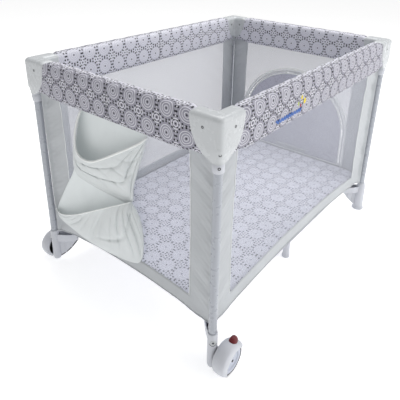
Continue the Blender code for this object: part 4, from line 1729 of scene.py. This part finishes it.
# ---- feet -----------------------------------------------------------------------------------------
@dataclass
class Feet:
    """Round foot under each leg, with the channel and fin that hold the base tube's outer end."""

    top: float = 0.1288
    bore_low: float = 0.0360
    reach: float = 0.0790
    half_wide: float = 0.0148
    wall: float = 0.0024
    post_radius: float = 0.0142
    rivet_height: float = 0.1020
    line_radius: float = 0.0108

    def post(self, bore: float, plain: bool) -> bpy.types.Mesh:
        """The round post.

        Args:
            bore: Radius of the hole that the leg stands in.
            plain: A floor foot, not a caster's post.

        Returns:
            A closed mesh in the corner frame.
        """
        inside = [(bore, self.top), (bore, self.bore_low), (0, self.bore_low)]
        if plain:
            skin = [(0, 0), (0.0225, 0), (0.0248, 0.0022), (0.0250, 0.0065), (0.0222, 0.0105),
                    (0.0204, 0.0150),
                    (0.0198, 0.0300), (0.0192, 0.0900), (0.0178, 0.1130), (0.0150, 0.1250), (0.0138, 0.1286)]
        else:
            skin = [(0, 0.0060), (0.0085, 0.0062), (0.0120, 0.0085), (0.0137, 0.0135), (0.0142, 0.0220),
                    (0.0142, 0.1262), (0.0136, 0.1286)]
        return turned_mesh("post", skin + inside, Vector(), Vector((0, 0, 1)), 40)

    def channel(self) -> bpy.types.Mesh:
        """The open channel round the base tube's end, towards the pen's middle.

        Returns:
            A closed mesh in the corner frame.
        """
        rings = []
        for k in range(15):
            t = k / 14
            place = 0.0085 + (self.reach - 0.0085) * t
            w = self.half_wide - 0.0035 * (1 - eased(t / 0.5))
            low, high = 0.0790 + 0.0050 * t * t, 0.1120 - 0.0030 * t
            inner = w - self.wall
            section = ((-w, high), (-w, low + 0.0070), (-w + 0.0018, low + 0.0022), (-w + 0.0065, low),
                       (w - 0.0065, low),
                       (w - 0.0018, low + 0.0022), (w, low + 0.0070), (w, high), (inner, high),
                       (inner, low + 0.0060),
                       (-inner, low + 0.0060), (-inner, high))
            rings.append([self.across(place, side, z) for side, z in section])
        return loft("channel", rings)

    def under(self, t: float) -> tuple[float, float]:
        """Lower edge of the fin, as distance from the leg and height."""
        return 0.0100 + (self.reach - 0.0110) * t, 0.0135 + 0.0690 * t - 0.0085 * math.sin(math.pi * t)

    def fin(self) -> bpy.types.Mesh:
        """The ribbed fin under the channel.

        Returns:
            A closed mesh in the corner frame.
        """
        rings = []
        for k in range(41):
            t = k / 40
            place, low = self.under(t)
            half = 0.0026 + 0.0028 * max(0.0, math.cos(t * 19)) ** 8
            high = 0.0800 + 0.0050 * t * t
            rings.append([self.across(place, side, z) for side, z in
                          ((-half, high), (-half, low), (half, low), (half, high))])
        return loft("fin", rings)

    @staticmethod
    def across(place: float, side: float, height: float) -> Vector:
        """Point at a distance from the leg towards the pen's middle, moved sideways."""
        return Vector(((place - side) * math.sqrt(0.5), (place + side) * math.sqrt(0.5), height))

    def placed(self, corner: Corner, points: Sequence[Vector]) -> list[Vector]:
        """Points of the corner frame moved to one corner."""
        sx, sy = corner.inward
        return [leg_axis(corner) + Vector((p.x * sx, p.y * sy, p.z)) for p in points]

    def crescent(self, axis: Vector) -> list[Vector]:
        """A dark line on the post under the rivet, painted shade standing for the groove pressed there.

        Args:
            axis: Direction that the rivet faces.

        Returns:
            Points in the corner frame.
        """
        side = Vector((axis.x, -axis.y, 0)).normalized()
        points = []
        for k in range(15):
            turn = math.radians(205 + 130 * k / 14)
            level = self.line_radius * math.cos(turn)
            out = math.sqrt(max(0.0, (self.post_radius + 0.0002) ** 2 - level * level))
            height = self.rivet_height + self.line_radius * math.sin(turn)
            points.append(side * level + axis * out + Vector((0, 0, height)))
        return points

    def trim(self, corner: Corner, body: str) -> None:
        """Boss, rivet, painted shade of the pressed groove, and dark edge of a caster's foot.

        Args:
            corner: Which corner.
            body: The body they ride on.
        """
        axis = Vector((-1, -1, 0)).normalized()
        boss_profile = [(0, -0.0050), (0.0082, -0.0050), (0.0082, 0.0004), (0.0075, 0.0009), (0.0052, 0.0009),
                        (0.0044, 0.0002), (0, 0.0002)]
        rivet_profile = [(0, -0.0020), (0.0031, -0.0020), (0.0031, 0.0008), (0.0020, 0.0013), (0, 0.0013)]
        at = axis * self.post_radius + Vector((0, 0, self.rivet_height))
        boss_mesh = corner_mirrored(turned_mesh("boss", boss_profile, at, axis, 28), corner)
        boss = add_piece(f"foot_boss_{corner.label}", boss_mesh, [Finishes.WHITE_COVER], body)
        rivet_mesh = corner_mirrored(turned_mesh("rivet", rivet_profile, at, axis, 20), corner)
        rivet = add_piece(f"foot_rivet_{corner.label}", rivet_mesh, [Finishes.SCREW_HEAD], body)
        # Painted shade: a thin near-black cord stands for the shadow in the groove pressed into the post.
        line = round_cord(f"foot_line_{corner.label}", self.placed(corner, self.crescent(axis)), 0.0007,
                          Finishes.SCREW_HEAD, body)
        lows = [self.under(k / 30) for k in range(31)]
        edge = [self.across(place, 0.0, low) for place, low in lows]
        strip = round_cord(f"foot_edge_{corner.label}", self.placed(corner, edge), 0.0032, Finishes.TYRE,
                           body)

    def build(self) -> None:
        """Build and dress the four feet."""
        for corner in Corner:
            label, plain = corner.label, corner in (Corner.FRONT_RIGHT, Corner.REAR_RIGHT)
            tube_low, tube_high = node_box(f"leg_tube_{label}")
            bore = (tube_high.x - tube_low.x) / 2 + 0.0003
            body = f"corner_{label}"
            parts = (("post", self.post(bore, plain)), ("channel", self.channel()), ("fin", self.fin()))
            for name, mesh in parts:
                piece = add_piece(f"foot_{name}_{label}", corner_mirrored(mesh, corner),
                                  [Finishes.GREY_MOULDING],
                                  body)
                piece.data.set_sharp_from_angle(angle=math.radians(50))
                if name == "post":
                    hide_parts(f"foot_{label}")
            if not plain:
                self.trim(corner, body)


# ---- generic mark ---------------------------------------------------------------------------------
@dataclass
class RailMark:
    """A small generic coloured mark on the front rail: a blue ripple with three petals, no lettering."""

    face_gap: float = 0.0006
    ripple_height: float = 0.0045
    ripple_radius: float = 0.0022
    petal_thick: float = 0.0020
    blue: MouldedPlastic = MouldedPlastic("mark_blue", (0.10, 0.20, 0.52), 0.7)
    yellow: MouldedPlastic = MouldedPlastic("mark_yellow", (0.75, 0.60, 0.03), 0.7)
    green: MouldedPlastic = MouldedPlastic("mark_green", (0.42, 0.50, 0.10), 0.7)
    red: MouldedPlastic = MouldedPlastic("mark_red", (0.42, 0.05, 0.07), 0.7)

    def build(self) -> None:
        """Build and dress the mark."""
        low, high = node_box("sleeve_front_left")
        y = low.y - self.face_gap
        base = Vector((low.x + 0.190, y, low.z + 0.030))
        points = [base + Vector((k * 0.0015 - 0.055, 0, self.ripple_height * math.sin(k * 0.72)))
                  for k in range(90)]
        self.cord("mark_ripple", points, self.blue, self.ripple_radius)
        petals = ((0.098, 0.030, 0.0085, self.yellow), (0.062, 0.030, 0.006, self.green),
                  (0.080, 0.044, 0.006, self.yellow), (0.076, 0.022, 0.0045, self.red))
        for k, (dx, dz, size, finish) in enumerate(petals):
            ring = [base + Vector((dx + size * 0.7 * math.cos(a), 0,
                                   dz + size * math.sin(a) - 0.010)) for a in
                    [math.tau * n / 18 for n in range(18)]]
            build = bmesh.new()
            front = [build.verts.new(p) for p in ring]
            back = [build.verts.new(p + Vector((0, self.petal_thick, 0))) for p in ring]
            build.faces.new(front)
            build.faces.new(list(reversed(back)))
            for n in range(18):
                m = (n + 1) % 18
                build.faces.new((front[n], back[n], back[m], front[m]))
            piece = add_piece(f"mark_petal_{k}", mesh_of(build, "petal"), [finish], "rail_front_left",
                              smooth=False)

    def cord(self, name: str, points: Sequence[Vector], finish: object, radius: float) -> None:
        """One stitched line of the mark."""
        piece = round_cord(name, points, radius, finish, "rail_front_left")


# ---- studio ---------------------------------------------------------------------------------------
@dataclass
class Studio:
    """Pale floor, soft lights and the camera."""

    lens_mm: float = 41.48
    azimuth: float = -52.2
    elevation: float = 22.9
    roll: float = 1.42
    place: Point = (-1.255, -0.912, 1.129)
    shift: tuple[float, float] = (-0.0228, -0.1875)
    floor_tone: float = 0.90
    floor_glow: float = 0.52
    world_glow: float = 0.47

    def camera(self) -> None:
        """Create the scene's camera."""
        a, e, q = (math.radians(v) for v in (self.azimuth, self.elevation, self.roll))
        back = Vector((math.sin(a) * math.cos(e), -math.cos(a) * math.cos(e), math.sin(e)))
        right = Vector((math.cos(a), math.sin(a), 0))
        up = back.cross(right)
        r = right * math.cos(q) + up * math.sin(q)
        u = up * math.cos(q) - right * math.sin(q)
        data = bpy.data.cameras.new("camera")
        data.sensor_width = 36.0
        data.lens = self.lens_mm
        data.shift_x, data.shift_y = self.shift
        obj = bpy.data.objects.new("camera", data)
        obj.matrix_world = Matrix.Translation(self.place) @ Matrix((r, u, back)).transposed().to_4x4()
        bpy.context.scene.collection.objects.link(obj)
        bpy.context.scene.camera = obj

    def floor(self) -> None:
        """Lay the pale floor."""
        build = bmesh.new()
        bmesh.ops.create_grid(build, x_segments=2, y_segments=2, size=30)
        mesh = mesh_of(build, "floor", recalculate=False)
        obj = bpy.data.objects.new("floor", mesh)
        bpy.context.scene.collection.objects.link(obj)
        bench = ShaderBench("studio_floor")
        bench.shader.inputs["Base Color"].default_value = (self.floor_tone, self.floor_tone,
                                                           self.floor_tone, 1)
        bench.shader.inputs["Roughness"].default_value = 0.9
        bench.shader.inputs["Specular IOR Level"].default_value = 0.1
        bench.shader.inputs["Emission Color"].default_value = (1, 1, 1, 1)
        bench.shader.inputs["Emission Strength"].default_value = self.floor_glow
        mesh.materials.append(bench.material)

    def light(self, name: str, place: Point, aim: Point, size: float, power: float) -> None:
        """Hang one square soft light.

        Args:
            name: Light name.
            place: Where it hangs.
            aim: What it points at.
            size: Side of the square.
            power: Watts.
        """
        data = bpy.data.lights.new(name, "AREA")
        data.shape = "SQUARE"
        data.size = size
        data.energy = power
        obj = bpy.data.objects.new(name, data)
        obj.location = place
        obj.rotation_euler = (Vector(aim) - Vector(place)).to_track_quat("-Z", "Y").to_euler()
        bpy.context.scene.collection.objects.link(obj)

    def build(self) -> None:
        """Build the studio."""
        self.camera()
        self.floor()
        self.light("overhead", (0.7, 0.2, 3.2), (0, 0, 0.3), 2.4, 66)
        self.light("front", (1.4, -3.0, 1.7), (0, 0, 0.4), 2.0, 46)
        self.light("left_fill", (-3.2, -0.6, 1.6), (0, 0, 0.4), 2.2, 4)
        world = bpy.data.worlds.new("studio")
        bpy.context.scene.world = world
        world.use_nodes = True
        world.node_tree.nodes["Background"].inputs["Color"].default_value = (1, 1, 1, 1)
        world.node_tree.nodes["Background"].inputs["Strength"].default_value = self.world_glow
        bpy.context.scene.view_settings.view_transform = "Standard"


def main() -> None:
    """Build every sub-assembly in order."""
    logging.basicConfig(level=logging.INFO, format="%(name)s %(message)s")
    for part in (Studio(), FramePieces(), CasterUnits(), Feet(), CornerCovers(), PaddedRails(),
                 FabricWalls(), DoorPanel(), Mattress(),
                 FloorCloth(), ToyBag(), RailMark()):
        part.build()
        LOG.info("%s finished", type(part).__name__)


if __name__ == "__main__":
    main()
